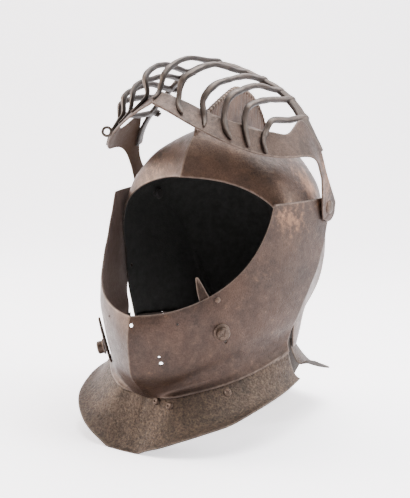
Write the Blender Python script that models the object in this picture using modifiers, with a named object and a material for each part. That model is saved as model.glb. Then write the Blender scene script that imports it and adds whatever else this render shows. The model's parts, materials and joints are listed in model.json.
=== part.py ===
"""A close helmet of forged iron, its barred visor raised.

The helmet faces -Y, +Z is up and the wearer's left is +X. Lengths are metres. In the tables
below y is counted from the hinge axis, and z from the surface that the helmet rests on.
"""

import math

import bmesh
import bpy
import numpy as np
from mathutils import Matrix, Vector

# Hinge axis, which runs along X through both temples
PIVOT_Y = 0.0329
PIVOT_Z = 0.217

# Plate thicknesses, and the gap kept between pieces that touch
SKULL_WALL = 0.0020
BEVOR_WALL = 0.0018
GORGET_WALL = 0.0016
VISOR_WALL = 0.0020
GAP = 0.0003

# Skull hoops from the face rim back and down to the nape:
# crest y, z | side x, y, z | angle of the foot round the neck | fullness | ridge y, z
HOOPS = (
    (-0.0960, 0.2430, 0.0995, -0.0460, 0.1650, 97, 0.66, -0.028, 0.000),
    (-0.0810, 0.2745, 0.0995, -0.0335, 0.1860, 100, 0.77, -0.019, 0.008),
    (-0.0535, 0.2915, 0.1000, -0.0220, 0.1995, 104, 0.99, -0.008, 0.012),
    (-0.0070, 0.2965, 0.1000, -0.0110, 0.2055, 109, 1.09, 0.000, 0.012),
    (0.0410, 0.2875, 0.0975, 0.0025, 0.2070, 115, 1.23, 0.003, 0.008),
    (0.0730, 0.2570, 0.0940, 0.0170, 0.2020, 122, 1.38, 0.003, 0.004),
    (0.0860, 0.2135, 0.0900, 0.0310, 0.1915, 129, 1.32, 0.000, 0.000),
    (0.0845, 0.1680, 0.0855, 0.0435, 0.1735, 136, 1.28, 0.000, 0.000),
    (0.0710, 0.1275, 0.0760, 0.0540, 0.1455, 141, 1.20, 0.000, 0.000),
    (0.0590, 0.1030, 0.0550, 0.0500, 0.1105, 145, 1.13, 0.000, 0.000),
    (0.0500, 0.0845, 0.0290, 0.0427, 0.0845, 148, 1.05, 0.000, 0.000),
)
RIDGE_REACH = 0.030
SIDE_SHARE = 0.66

# Neck edge of the skull: half a flattened ring about its own middle
NECK_Y = -0.040
NECK_HALF_WIDTH = 0.0945
NECK_DEPTH = 0.090
NECK_POWER = 1.7
NECK_Z = 0.084

# Comb: place along the hoops, then y, z of its top edge
COMB = (
    (1.20, -0.0755, 0.2830),
    (1.70, -0.0570, 0.3015),
    (2.30, -0.0330, 0.3160),
    (2.80, -0.0095, 0.3276),
    (3.20, 0.0060, 0.3298),
    (3.75, 0.0330, 0.3224),
    (4.30, 0.0545, 0.3030),
    (4.70, 0.0660, 0.2830),
    (5.05, 0.0755, 0.2600),
)
COMB_THICKNESS = 0.0042
COMB_ROOT = 0.0016

# Bevor sections from the bottom up: z, half width, depth to the front, keel
BEVOR_SECTIONS = (
    (0.041, 0.0865, 0.1420, 0.0000),
    (0.050, 0.0885, 0.1425, 0.0080),
    (0.064, 0.0920, 0.1470, 0.0185),
    (0.080, 0.0960, 0.1530, 0.0175),
    (0.100, 0.1010, 0.1590, 0.0145),
    (0.121, 0.1055, 0.1640, 0.0060),
    (0.150, 0.1080, 0.1610, 0.0000),
    (0.185, 0.1075, 0.1560, 0.0000),
    (0.226, 0.1055, 0.1500, 0.0000),
)
KEEL_REACH = 0.034

# Outline of the bevor: angle from the front in degrees, height
BEVOR_SEAM = ((0, 0.041), (13, 0.0445), (26, 0.050), (44, 0.0585), (60, 0.070), (72.5, 0.083))
BEVOR_RIM = (
    (0, 0.1207),
    (15, 0.1250),
    (28, 0.1340),
    (40, 0.1490),
    (50, 0.1710),
    (56.5, 0.1970),
    (59.5, 0.2215),
)
BEVOR_TOP = ((59.5, 0.2215), (76, 0.2240), (92.5, 0.2260))
BEVOR_REAR = (
    (72.5, 0.0830),
    (74.5, 0.1050),
    (77.5, 0.1290),
    (82, 0.1500),
    (86.5, 0.1720),
    (90, 0.1950),
    (92.5, 0.2120),
    (92.5, 0.2260),
)
RIM_SHARE = 0.62

# Flange turned out along the bottom of the bevor, away from the keel
FLANGE = 0.0055
FLANGE_SHARE = 0.07
FLANGE_TUCK = 0.0012
TUCK_PLACE = (0.13, 0.05)
FLANGE_START = (0.08, 0.35)

# Lower rims of the gorget plates: x, y, z
FRONT_RIM = (
    (0.0000, -0.1780, -0.0015),
    (0.0120, -0.1775, -0.0010),
    (0.0250, -0.1765, 0.0050),
    (0.0380, -0.1735, 0.0100),
    (0.0520, -0.1670, 0.0155),
    (0.0680, -0.1545, 0.0220),
    (0.0840, -0.1355, 0.0290),
    (0.0940, -0.1125, 0.0365),
    (0.1000, -0.0860, 0.0430),
    (0.1015, -0.0570, 0.0475),
    (0.1000, -0.0270, 0.0520),
)
REAR_RIM = (
    (0.0975, -0.0120, 0.0665),
    (0.0965, 0.0080, 0.0625),
    (0.0900, 0.0415, 0.0515),
    (0.0790, 0.0830, 0.0390),
    (0.0580, 0.1000, 0.0370),
    (0.0400, 0.1060, 0.0360),
    (0.0320, 0.1080, 0.0325),
    (0.0250, 0.1095, 0.0215),
    (0.0190, 0.1105, 0.0080),
    (0.0145, 0.1115, 0.0000),
    (0.0085, 0.1120, -0.0010),
    (0.0000, 0.1120, -0.0010),
)
FRONT_SAG = 0.006
REAR_SAG = 0.008
REAR_ANGLES = (98, 180)
REAR_HIDDEN = 0.0065

# Visor band and arm, raised: front edge x, y, z | rear edge x, y, z
VISOR_BAND = (
    (0.0000, -0.1455, 0.3105, 0.0000, -0.1320, 0.3200),
    (0.0230, -0.1415, 0.3000, 0.0240, -0.1240, 0.3110),
    (0.0450, -0.1337, 0.2880, 0.0430, -0.1170, 0.3020),
    (0.0650, -0.1210, 0.2775, 0.0620, -0.1060, 0.2950),
    (0.0830, -0.1010, 0.2690, 0.0760, -0.0920, 0.2890),
    (0.0980, -0.0790, 0.2655, 0.0885, -0.0770, 0.2865),
    (0.1065, -0.0610, 0.2665, 0.0945, -0.0600, 0.2870),
    (0.1105, -0.0435, 0.2660, 0.0935, -0.0375, 0.2985),
    (0.1115, -0.0315, 0.2590, 0.1010, -0.0260, 0.2850),
    (0.1115, -0.0250, 0.2490, 0.1070, -0.0180, 0.2690),
    (0.1112, -0.0205, 0.2390, 0.1094, -0.0095, 0.2490),
    (0.1087, -0.0125, 0.2180, 0.1087, 0.0105, 0.2220),
)
LOBE_RADIUS = 0.0135
LOBE_OUTER = 0.1089

# Brow bar of the visor, from the midline to inside the arm
BROW_BAR = (
    (0.0000, -0.0412, 0.3500),
    (0.0372, -0.0355, 0.3403),
    (0.0686, -0.0225, 0.3212),
    (0.0885, -0.0228, 0.2994),
    (0.0990, -0.0225, 0.2820),
    (0.1050, -0.0190, 0.2690),
)

# Visor bars from the temple to the midline, each from its foot on the band to its hook on the brow bar
BARS = (
    (
        (0.0893, -0.0922, 0.2676),
        (0.0859, -0.0920, 0.2771),
        (0.0830, -0.0850, 0.2876),
        (0.0838, -0.0790, 0.2960),
        (0.0845, -0.0680, 0.2983),
        (0.0855, -0.0450, 0.2985),
        (0.0867, -0.0195, 0.3020),
    ),
    (
        (0.0785, -0.1059, 0.2740),
        (0.0720, -0.1030, 0.2850),
        (0.0695, -0.1001, 0.2945),
        (0.0703, -0.0988, 0.3065),
        (0.0708, -0.0880, 0.3120),
        (0.0714, -0.0560, 0.3165),
        (0.0720, -0.0205, 0.3185),
    ),
    (
        (0.0667, -0.1173, 0.2791),
        (0.0600, -0.1169, 0.2906),
        (0.0555, -0.1125, 0.3000),
        (0.0570, -0.1105, 0.3130),
        (0.0584, -0.0933, 0.3225),
        (0.0600, -0.0600, 0.3290),
        (0.0622, -0.0245, 0.3265),
    ),
    (
        (0.0465, -0.1310, 0.2900),
        (0.0402, -0.1225, 0.3010),
        (0.0388, -0.1222, 0.3110),
        (0.0410, -0.1163, 0.3220),
        (0.0432, -0.0860, 0.3330),
        (0.0452, -0.0520, 0.3375),
        (0.0470, -0.0307, 0.3365),
    ),
    (
        (0.0281, -0.1371, 0.3000),
        (0.0211, -0.1343, 0.3088),
        (0.0175, -0.1280, 0.3180),
        (0.0200, -0.1280, 0.3285),
        (0.0245, -0.1170, 0.3380),
        (0.0280, -0.0860, 0.3465),
        (0.0312, -0.0372, 0.3430),
    ),
)
MEDIAN_BAR = (
    (0.0000, -0.1340, 0.3190),
    (0.0000, -0.1290, 0.3320),
    (0.0000, -0.1147, 0.3439),
    (0.0000, -0.0904, 0.3519),
    (0.0000, -0.0412, 0.3500),
)
BAR_RADIUS = 0.0030
BROW_RADIUS = 0.0034
BAR_POINTS = 11

# Lifting ring on the wearer's right of the visor's front edge
RING_CENTRE = (-0.0630, -0.1275, 0.2822)
RING_FOOT = (-0.0570, -0.1232, 0.2812)
RING_AXIS = (0.53, -0.84, 0.13)
RING_RADIUS = 0.0040
RING_WIRE = 0.0013

# Pivot rivet along X: shank, and where its head, collar and inner tail begin
SHANK_RADIUS = 0.0035
HOLE_RADIUS = 0.0039
HEAD_RADIUS = 0.0066
HEAD_TIP = 0.1107
COLLAR_RADIUS = 0.0070
COLLAR_START = 0.0996
COLLAR_END = 0.1030
TAIL_RADIUS = 0.0060
TAIL_TOP = 0.0910

# Small holes in the bevor: x, z, radius
BEVOR_HOLES = (
    (0.0024, 0.1134, 0.0018),
    (0.0244, 0.0856, 0.0017),
    (0.0253, 0.0796, 0.0020),
    (0.0689, 0.0996, 0.0014),
    (0.0399, 0.1165, 0.0012),
    (-0.0322, 0.1151, 0.0014),
)
# Small holes low in the back of the skull: x, y, z, radius
SKULL_HOLES = (
    (-0.0822, -0.0012, 0.0885, 0.0017),
    (-0.0637, 0.0262, 0.0920, 0.0018),
    (-0.0984, -0.0385, 0.1430, 0.0012),
)

# Pegs: angle round the bevor, height
PEG_LEFT = (40.8, 0.1093)
PEG_RIGHT = (-39.5, 0.0770)
PEG_WASHER_RADIUS = 0.0078
PEG_HEAD_RADIUS = 0.0062
PEG_HEIGHT = 0.0072

# Catch strap on the wearer's right: angle of its middle, lower and upper end, greatest width
STRAP_ANGLE = -38.5
STRAP_ENDS = (0.0620, 0.1050)
STRAP_WIDTH = 0.0120
STRAP_WALL = 0.0018
STRAP_LIFT = 0.0014

# Face spike inside the rim, from foot to tip: angle, height, depth inside the outer face, half width
SPIKE_LINE = (
    (35.5, 0.1290, 0.0041, 0.0050),
    (32.0, 0.1420, 0.0043, 0.0042),
    (28.5, 0.1575, 0.0085, 0.0010),
)
SPIKE_WALL = 0.0016

# Rivet of the face spike: angle round the bevor, height of its place, radius and height of its head
SPIKE_RIVET = (37.7, 0.1385)
SPIKE_HEAD = (0.0026, 0.0013)
# Rivets of the front gorget: name, shares across and down it, radius and height of the head
GORGET_RIVETS = (
    ("gorget_rivet_middle", 0.120, 0.080, 0.0036, 0.0018),
    ("gorget_rivet_left", 0.265, 0.115, 0.0036, 0.0016),
    ("gorget_rivet_side", 0.610, 0.160, 0.0040, 0.0006),
)

IRON = ((0.115, 0.090, 0.075), 0.50, 0.85)
RUSTY_IRON = ((0.150, 0.095, 0.060), 0.60, 0.70)
DARK_IRON = ((0.060, 0.050, 0.045), 0.45, 0.85)


def clear_scene():
    for old in list(bpy.data.objects):
        bpy.data.objects.remove(old)


def collection(name):
    made = bpy.data.collections.new(name)
    bpy.context.scene.collection.children.link(made)
    return made


def holder(name, place, parent=None):
    """An empty that carries the pieces of one body."""
    empty = bpy.data.objects.new(name, None)
    empty.location = place
    empty.parent = parent
    HELMET.objects.link(empty)
    return empty


def iron(name, finish):
    colour, roughness, metallic = finish
    made = bpy.data.materials.new(name)
    made.use_nodes = True
    shader = made.node_tree.nodes["Principled BSDF"]
    shader.inputs["Base Color"].default_value = (*colour, 1)
    shader.inputs["Roughness"].default_value = roughness
    shader.inputs["Metallic"].default_value = metallic
    return made


def spline(knots, rows, at):
    """Natural cubic through rows, which stand at knots, read at the places in at."""
    knots, rows, at = (np.asarray(given, float) for given in (knots, rows, at))
    count = len(knots)
    step = np.diff(knots)
    system = np.eye(count)
    right = np.zeros(rows.shape)
    for i in range(1, count - 1):
        system[i, i - 1 : i + 2] = step[i - 1], 2 * (step[i - 1] + step[i]), step[i]
        right[i] = 6 * ((rows[i + 1] - rows[i]) / step[i] - (rows[i] - rows[i - 1]) / step[i - 1])
    bend = np.linalg.solve(system, right)
    i = np.clip(np.searchsorted(knots, at, side="right") - 1, 0, count - 2)
    span = step[i][..., None]
    t = (at - knots[i])[..., None] / span
    s = 1 - t
    pull = (s**3 - s) * bend[i] + (t**3 - t) * bend[i + 1]
    return rows[i] * s + rows[i + 1] * t + pull * span * span / 6


def along(table, share):
    """Point of the smooth curve through a table's rows, at a share of its rows."""
    return spline(np.arange(len(table)), table, np.asarray(share, float) * (len(table) - 1))


def smooth_step(low, high, value):
    t = np.clip((value - low) / (high - low), 0, 1)
    return t * t * (3 - 2 * t)


def normals(grid):
    """Unit normals of a grid of points, along its first direction crossed with its second."""
    cross = np.cross(np.gradient(grid, axis=0), np.gradient(grid, axis=1))
    return cross / np.linalg.norm(cross, axis=-1, keepdims=True)


def neck_point(angle):
    """Point of the neck edge at an angle from the front, in degrees."""
    turn = np.radians(angle)
    power = 2 / NECK_POWER
    x = NECK_HALF_WIDTH * np.abs(np.sin(turn)) ** power
    y = NECK_Y + NECK_DEPTH * np.abs(np.cos(turn)) ** power
    return np.stack([x, y, np.full_like(x, NECK_Z)], -1)


def skull_grid(hoop, down):
    """Hoops of the skull: a quarter of an oval from crest to side, then an eased line to the neck."""
    row = spline(np.arange(len(HOOPS)), HOOPS, hoop)[:, None]
    down = np.asarray(down, float)[None, :, None]
    zero = np.zeros_like(row[..., :1])
    ridge = np.concatenate([zero, row[..., 7:9]], -1)
    crest = np.concatenate([zero, row[..., 0:2]], -1) - ridge
    side = row[..., 2:5]
    middle = side * [0, 1, 1]
    foot = neck_point(row[:, 0, 5])[:, None]
    turn = np.clip(down / SIDE_SHARE, 0, 1) * np.pi / 2
    upper = middle + (crest - middle) * np.abs(np.cos(turn)) ** row[..., 6:7] + (side - middle) * np.sin(turn)
    upper = upper + ridge * np.exp(-upper[..., :1] / RIDGE_REACH)
    fall = np.clip((down - SIDE_SHARE) / (1 - SIDE_SHARE), 0, 1)
    lower = side + (foot - side) * np.concatenate([fall**1.7, fall**1.7, fall], -1)
    return np.where(down <= SIDE_SHARE, upper, lower)


def bevor_point(angle, height):
    """Point of the bevor's outer face: an oval section with a keel that fades away from the midline."""
    turn = np.radians(angle)
    sections = np.asarray(BEVOR_SECTIONS)
    half_width, depth, keel = np.moveaxis(spline(sections[:, 0], sections[:, 1:], height), -1, 0)
    x = half_width * np.sin(turn)
    y = -depth * np.cos(turn) - keel * np.exp(-np.abs(x) / KEEL_REACH)
    return np.stack([x, y, height + 0 * x], -1)


def bevor_outward(angle, height):
    """Unit normal of the bevor at one angle and height."""
    near = np.array([[-0.5, 0.5], [-0.5, 0.5]])
    grid = bevor_point(angle + near.T, height + near * 0.002)
    return normals(grid)[0, 0]


def bevor_grid(across, up):
    """Half of the bevor, from keel to rear edge and from seam to rim, blended from its four edges."""
    across = np.asarray(across, float)
    up = np.asarray(up, float)
    rim = along(BEVOR_RIM, np.clip(across / RIM_SHARE, 0, 1))
    lobe = along(BEVOR_TOP, np.clip((across - RIM_SHARE) / (1 - RIM_SHARE), 0, 1))
    top = np.where((across <= RIM_SHARE)[:, None], rim, lobe)[:, None]
    seam = along(BEVOR_SEAM, across)[:, None]
    keel = np.stack([0 * up, BEVOR_SEAM[0][1] + (BEVOR_RIM[0][1] - BEVOR_SEAM[0][1]) * up], -1)[None]
    rear = along(BEVOR_REAR, up)[None]
    u = across[:, None, None]
    v = up[None, :, None]
    corners = (1 - u) * ((1 - v) * seam[0, 0] + v * top[0, 0]) + u * ((1 - v) * seam[-1, 0] + v * top[-1, 0])
    flat = (1 - v) * seam + v * top + (1 - u) * keel + u * rear - corners
    grid = bevor_point(flat[..., 0], flat[..., 1])
    turn = np.radians(flat[..., 0])
    lift = FLANGE * np.clip(1 - up / FLANGE_SHARE, 0, 1) ** 2 * smooth_step(*FLANGE_START, across)[:, None]
    tuck = FLANGE_TUCK * np.exp(-(((up - TUCK_PLACE[0]) / TUCK_PLACE[1]) ** 2)) * smooth_step(*FLANGE_START, across)[:, None]
    return grid + (lift - tuck)[..., None] * np.stack([np.sin(turn), -np.cos(turn), 0 * turn], -1)


def front_gorget_grid(across, down):
    """Half of the front gorget: a strip inside the bevor's foot, then a sagging slope to the rim."""
    across = np.asarray(across, float)
    fine = np.linspace(0, 1, 8 * (len(across) - 1) + 1)
    foot = bevor_grid(fine, np.array([FLANGE_SHARE, FLANGE_SHARE / 2, 0]))
    strip = (foot + normals(foot) * (BEVOR_WALL + 1.6 * GAP))[::8]
    strip[0, :, 0] = 0
    rim = along(FRONT_RIM, across)[:, None]
    down = np.asarray(down, float)[None, :, None]
    slope = strip[:, -1:] * (1 - down) + rim * down - FRONT_SAG * np.sin(np.pi * down) * [0, 0, 1]
    return np.concatenate([strip, slope], 1)


def rear_gorget_grid(across, down):
    """Half of the rear gorget: an upright strip inside the neck edge, then a sagging slope to the rim."""
    across = np.asarray(across, float)
    angle = REAR_ANGLES[0] + (REAR_ANGLES[1] - REAR_ANGLES[0]) * across
    neck = neck_point(angle)
    run = neck_point(np.minimum(angle + 0.5, 180)) - neck_point(angle - 0.5)
    outward = np.stack([run[:, 1], -run[:, 0], 0 * angle], -1)
    outward /= np.linalg.norm(outward, axis=-1, keepdims=True)
    inner = (neck - outward * (SKULL_WALL + 2.5 * GAP))[:, None]
    inner[-1, :, 0] = 0
    low = inner - [0, 0, 2 * GAP]
    high = inner + [0, 0, REAR_HIDDEN]
    rim = along(REAR_RIM, across)[:, None]
    down = np.asarray(down, float)[None, :, None]
    slope = low * (1 - down) + rim * down - REAR_SAG * np.sin(np.pi * down) * [0, 0, 1]
    return np.concatenate([high, low, slope], 1)


def visor_grid(stations, across):
    """Half of the visor's band and arm, ruled from its front edge to its rear edge."""
    row = along(VISOR_BAND, stations)[:, None]
    across = np.asarray(across, float)[None, :, None]
    return row[..., :3] * (1 - across) + row[..., 3:] * across


def comb_grid(stations, up):
    """The comb's middle sheet, from inside the skull's wall to its top edge."""
    row = along(COMB, stations)
    hoop = spline(np.arange(len(HOOPS)), HOOPS, row[:, 0])
    crest = np.stack([hoop[:, 0], hoop[:, 1]], -1)
    run = np.gradient(crest, axis=0)
    run /= np.linalg.norm(run, axis=-1, keepdims=True)
    root = crest - COMB_ROOT * np.stack([-run[:, 1], run[:, 0]], -1)
    up = np.asarray(up, float)[None, :, None]
    sheet = root[:, None] * (1 - up) + row[:, None, 1:] * up
    return np.concatenate([0 * sheet[..., :1], sheet], -1)


def strap_grid(along_count, across_count):
    """The catch strap over the bevor: pointed at its ends, and standing off more towards its top."""
    height = np.linspace(*STRAP_ENDS, along_count)[None, :]
    share = (height - STRAP_ENDS[0]) / (STRAP_ENDS[1] - STRAP_ENDS[0])
    width = STRAP_WIDTH * (0.30 + 0.70 * np.sin(np.pi * share) ** 0.6)
    side = np.linspace(-0.5, 0.5, across_count)[:, None]
    radius = BEVOR_SECTIONS[4][1]
    grid = bevor_point(STRAP_ANGLE + np.degrees(side * width / radius), height + 0 * side)
    lift = 4 * GAP + STRAP_WALL + STRAP_LIFT * share
    return grid + normals(grid) * lift[..., None]


def spike_grid():
    """The face spike's outer face: a strip that narrows along its line."""
    angle, height, depth, half_width = along(SPIKE_LINE, np.linspace(0, 1, 5)).T
    outward = np.array([bevor_outward(*at) for at in zip(angle, height)])
    middle = bevor_point(angle, height) - outward * depth[:, None]
    turn = np.radians(angle)
    across = np.stack([np.cos(turn), np.sin(turn), 0 * turn], -1) * half_width[:, None]
    return np.stack([middle - across, middle + across], 0)


def sheet_mesh(name, grid, outward=True):
    """A mesh of quads over a grid of points, its faces turned over where outward is False."""
    rows, columns = grid.shape[:2]
    index = np.arange(rows * columns).reshape(rows, columns)
    loops = [index[:-1, :-1], index[1:, :-1], index[1:, 1:], index[:-1, 1:]]
    if not outward:
        loops.reverse()
    quads = np.stack(loops, -1).reshape(-1, 4)
    mesh = bpy.data.meshes.new(name)
    mesh.from_pydata(grid.reshape(-1, 3).tolist(), [], quads.tolist())
    mesh.shade_smooth()
    return mesh


def place(name, mesh, body, finish=None, home=None):
    """An object of a mesh whose points are given in the helmet's frame, carried by a body's empty."""
    shift = Matrix.Translation((0, 0, -body.location.z if body is not VISOR_HINGE else -PIVOT_Z))
    mesh.transform(shift)
    made = bpy.data.objects.new(name, mesh)
    made.parent = body
    if finish:
        mesh.materials.append(finish)
    (home or HELMET).objects.link(made)
    if home:
        made.hide_render = True
        made.display_type = "WIRE"
    return made


def plate(name, grid, wall, body, finish, outward=True, mirror=True, offset=-1, home=None):
    """A plate of even thickness: half of it as a sheet, mirrored, then given its wall."""
    made = place(name, sheet_mesh(name, grid, outward), body, finish, home)
    if mirror:
        half = made.modifiers.new("halves", "MIRROR")
        half.merge_threshold = 1e-5
    shell = made.modifiers.new("wall", "SOLIDIFY")
    shell.thickness = wall
    shell.offset = offset
    shell.use_even_offset = True
    return made


def boolean(target, name, operation, others):
    change = target.modifiers.new(name, "BOOLEAN")
    change.operation = operation
    change.operand_type = "COLLECTION"
    change.collection = others
    return change


def tube(name, points, radius, body, home, ends=0.7):
    """A forged bar along a smooth line of points, a little thinner at its ends, as a mesh."""
    line = along(points, np.linspace(0, 1, BAR_POINTS if len(points) > 5 else 10))
    curve = bpy.data.curves.new(name, "CURVE")
    curve.dimensions = "3D"
    curve.bevel_depth = radius
    curve.bevel_resolution = 1
    curve.use_fill_caps = True
    run = curve.splines.new("POLY")
    run.points.add(len(line) - 1)
    for i, (point, at) in enumerate(zip(run.points, line)):
        point.co = (*at, 1)
        point.radius = ends if i in (0, len(line) - 1) else 1
    guide = bpy.data.objects.new(name + "_line", curve)
    bpy.context.scene.collection.objects.link(guide)
    mesh = bpy.data.meshes.new_from_object(guide.evaluated_get(bpy.context.evaluated_depsgraph_get()))
    bpy.data.objects.remove(guide)
    weld(mesh)
    return place(name, mesh, body, home=home)


def weld(mesh):
    work = bmesh.new()
    work.from_mesh(mesh)
    bmesh.ops.remove_doubles(work, verts=work.verts, dist=1e-5)
    bmesh.ops.recalc_face_normals(work, faces=work.faces)
    work.to_mesh(mesh)
    work.free()


def facing(axis):
    """The rotation that turns +Z to an axis."""
    return Vector(axis).to_track_quat("Z", "Y").to_matrix().to_4x4()


def round_bar(name, centre, axis, radius, length, body, home, sides=16):
    """A cylinder about a centre, along an axis."""
    work = bmesh.new()
    bmesh.ops.create_cone(
        work,
        cap_ends=True,
        segments=sides,
        radius1=radius,
        radius2=radius,
        depth=length,
        matrix=Matrix.Translation(centre) @ facing(axis),
    )
    mesh = bpy.data.meshes.new(name)
    work.to_mesh(mesh)
    work.free()
    return place(name, mesh, body, home=home)


def turned(name, profile, centre, axis, body, finish, sides=16):
    """A turned piece: rows of radius and height along the axis, joined ring by ring, with capped ends."""
    frame = Matrix.Translation(centre) @ facing(axis)
    work = bmesh.new()
    angles = np.linspace(0, 2 * math.pi, sides, endpoint=False)
    rings = []
    for radius, height in profile:
        ring = [work.verts.new(frame @ Vector((radius * math.cos(a), radius * math.sin(a), height))) for a in angles]
        rings.append(ring)
    for low, high in zip(rings, rings[1:]):
        for i in range(sides):
            j = (i + 1) % sides
            work.faces.new((low[i], low[j], high[j], high[i]))
    work.faces.new(rings[0][::-1])
    work.faces.new(rings[-1])
    bmesh.ops.recalc_face_normals(work, faces=work.faces)
    mesh = bpy.data.meshes.new(name)
    work.to_mesh(mesh)
    work.free()
    mesh.shade_smooth()
    return place(name, mesh, body, finish)


def make_skull():
    hoops = np.concatenate([np.linspace(0, 6, 14), np.linspace(6, 10, 8)[1:]])
    down = np.concatenate([[0, 0.03], np.linspace(0.08, SIDE_SHARE, 7), np.linspace(SIDE_SHARE, 1, 5)[1:]])
    skull = plate("skull", skull_grid(hoops, down), SKULL_WALL, HEAD, PLATE_IRON, outward=False)
    comb_home = collection("comb_union")
    comb_sheet = comb_grid(np.linspace(0, 1, 17), np.linspace(0, 1, 3))
    plate("comb", comb_sheet, COMB_THICKNESS, HEAD, None, mirror=False, offset=0, home=comb_home)
    boolean(skull, "comb", "UNION", comb_home)
    cuts = collection("skull_cutters")
    cut_pivot_holes(HEAD, cuts, "skull")
    cut_nape_holes(cuts, "skull")
    boolean(skull, "holes", "DIFFERENCE", cuts)


def cut_nape_holes(home, name):
    for number, (x, y, z, radius) in enumerate(SKULL_HOLES):
        axis = (x, y - NECK_Y, 0)
        round_bar(f"{name}_nape_hole_{number}", (x, y, z), axis, radius, 0.014, HEAD, home, sides=10)


def cut_pivot_holes(body, home, name):
    for side in (-1, 1):
        round_bar(
            f"{name}_pivot_hole_{side}",
            (side * 0.104, 0, PIVOT_Z),
            (1, 0, 0),
            HOLE_RADIUS,
            0.030,
            body,
            home,
        )


def make_bevor():
    up = np.concatenate([np.linspace(0, FLANGE_SHARE, 3), np.linspace(FLANGE_SHARE, 1, 9)[1:]])
    across = np.concatenate([[0, 0.02], np.linspace(0.06, RIM_SHARE, 10), np.linspace(RIM_SHARE, 1, 7)[1:]])
    bevor = plate("bevor", bevor_grid(across, up), BEVOR_WALL, JAW, PLATE_IRON)
    cuts = collection("bevor_cutters")
    cut_pivot_holes(JAW, cuts, "bevor")
    for number, (x, z, radius) in enumerate(BEVOR_HOLES):
        depth = np.interp(z, *np.asarray(BEVOR_SECTIONS)[:, :2].T)
        angle = math.degrees(math.asin(x / depth))
        centre = bevor_point(angle, z)
        round_bar(f"bevor_hole_{number}", centre, bevor_outward(angle, z), radius, 0.012, JAW, cuts, sides=10)
    boolean(bevor, "holes", "DIFFERENCE", cuts)


def make_gorgets():
    ground = collection("ground_cutter")
    work = bmesh.new()
    bmesh.ops.create_cube(work, size=1, matrix=Matrix.Diagonal((0.30, 0.50, 0.02, 1)))
    bmesh.ops.translate(work, verts=work.verts, vec=(0, 0, -0.01))
    mesh = bpy.data.meshes.new("ground")
    work.to_mesh(mesh)
    work.free()
    place("ground", mesh, HEAD, home=ground)
    across = np.linspace(0, 1, 17)
    front = front_gorget_grid(across, np.linspace(0, 1, 5)[1:])
    rear = rear_gorget_grid(across, np.linspace(0, 1, 5)[1:])
    for name, grid, body in (("front_gorget", front, JAW), ("rear_gorget", rear, HEAD)):
        made = plate(name, grid, GORGET_WALL, body, GORGET_IRON, outward=False)
        boolean(made, "resting_land", "DIFFERENCE", ground)
    cuts = collection("gorget_cutters")
    cut_nape_holes(cuts, "gorget")
    boolean(made, "holes", "DIFFERENCE", cuts)
    return front


def make_visor():
    stations = np.linspace(0, 1, 2 * len(VISOR_BAND) - 1)
    visor = plate("visor", visor_grid(stations, np.linspace(0, 1, 4)), VISOR_WALL, VISOR_HINGE, BAR_IRON)
    home = collection("visor_union")
    for side in (-1, 1):
        name = "left" if side > 0 else "right"
        for number, points in enumerate(BARS, 1):
            mirrored = np.asarray(points) * [side, 1, 1]
            tube(f"bar_{name}_{number}", mirrored, BAR_RADIUS, VISOR_HINGE, home)
        centre = (side * (LOBE_OUTER - VISOR_WALL / 2), 0, PIVOT_Z)
        round_bar(f"lobe_{name}", centre, (1, 0, 0), LOBE_RADIUS, VISOR_WALL, VISOR_HINGE, home, sides=24)
    tube("bar_middle", MEDIAN_BAR, BAR_RADIUS, VISOR_HINGE, home)
    half = np.asarray(BROW_BAR)
    brow = np.concatenate([half[:0:-1] * [-1, 1, 1], half])
    tube("brow_bar", brow, BROW_RADIUS, VISOR_HINGE, home)
    make_ring(home)
    boolean(visor, "bars", "UNION", home)
    cuts = collection("visor_cutters")
    cut_pivot_holes(VISOR_HINGE, cuts, "visor")
    boolean(visor, "holes", "DIFFERENCE", cuts)


def make_ring(home):
    """The lifting ring, upright and in line with the plate's outward direction."""
    bpy.ops.mesh.primitive_torus_add(
        major_radius=RING_RADIUS, minor_radius=RING_WIRE, major_segments=12, minor_segments=6
    )
    ring = bpy.context.object
    mesh = ring.data.copy()
    bpy.data.objects.remove(ring)
    mesh.transform(Matrix.Translation(RING_CENTRE) @ facing(RING_AXIS))
    place("ring", mesh, VISOR_HINGE, home=home)
    reach = Vector(RING_CENTRE) - Vector(RING_FOOT)
    neck_length = reach.length - RING_RADIUS
    middle = Vector(RING_FOOT) + reach.normalized() * neck_length / 2
    round_bar("ring_neck", middle, reach, RING_WIRE, neck_length, VISOR_HINGE, home, sides=8)


def make_pivots():
    """Rivets through skull, bevor and visor, with a collar that keeps the bevor off the skull."""
    profile = (
        (TAIL_RADIUS * 0.7, TAIL_TOP - 0.0020),
        (TAIL_RADIUS, TAIL_TOP - 0.0012),
        (TAIL_RADIUS, TAIL_TOP),
        (SHANK_RADIUS, TAIL_TOP),
        (SHANK_RADIUS, COLLAR_START),
        (COLLAR_RADIUS, COLLAR_START),
        (COLLAR_RADIUS, COLLAR_END),
        (SHANK_RADIUS, COLLAR_END),
        (SHANK_RADIUS, LOBE_OUTER + GAP),
        (HEAD_RADIUS, LOBE_OUTER + GAP),
        (HEAD_RADIUS * 0.92, HEAD_TIP - 0.0006),
        (HEAD_RADIUS * 0.55, HEAD_TIP),
    )
    for name, side in (("pivot_left", 1), ("pivot_right", -1)):
        turned(name, profile, (0, 0, PIVOT_Z), (side, 0, 0), HEAD, BAR_IRON, sides=12)


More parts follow.
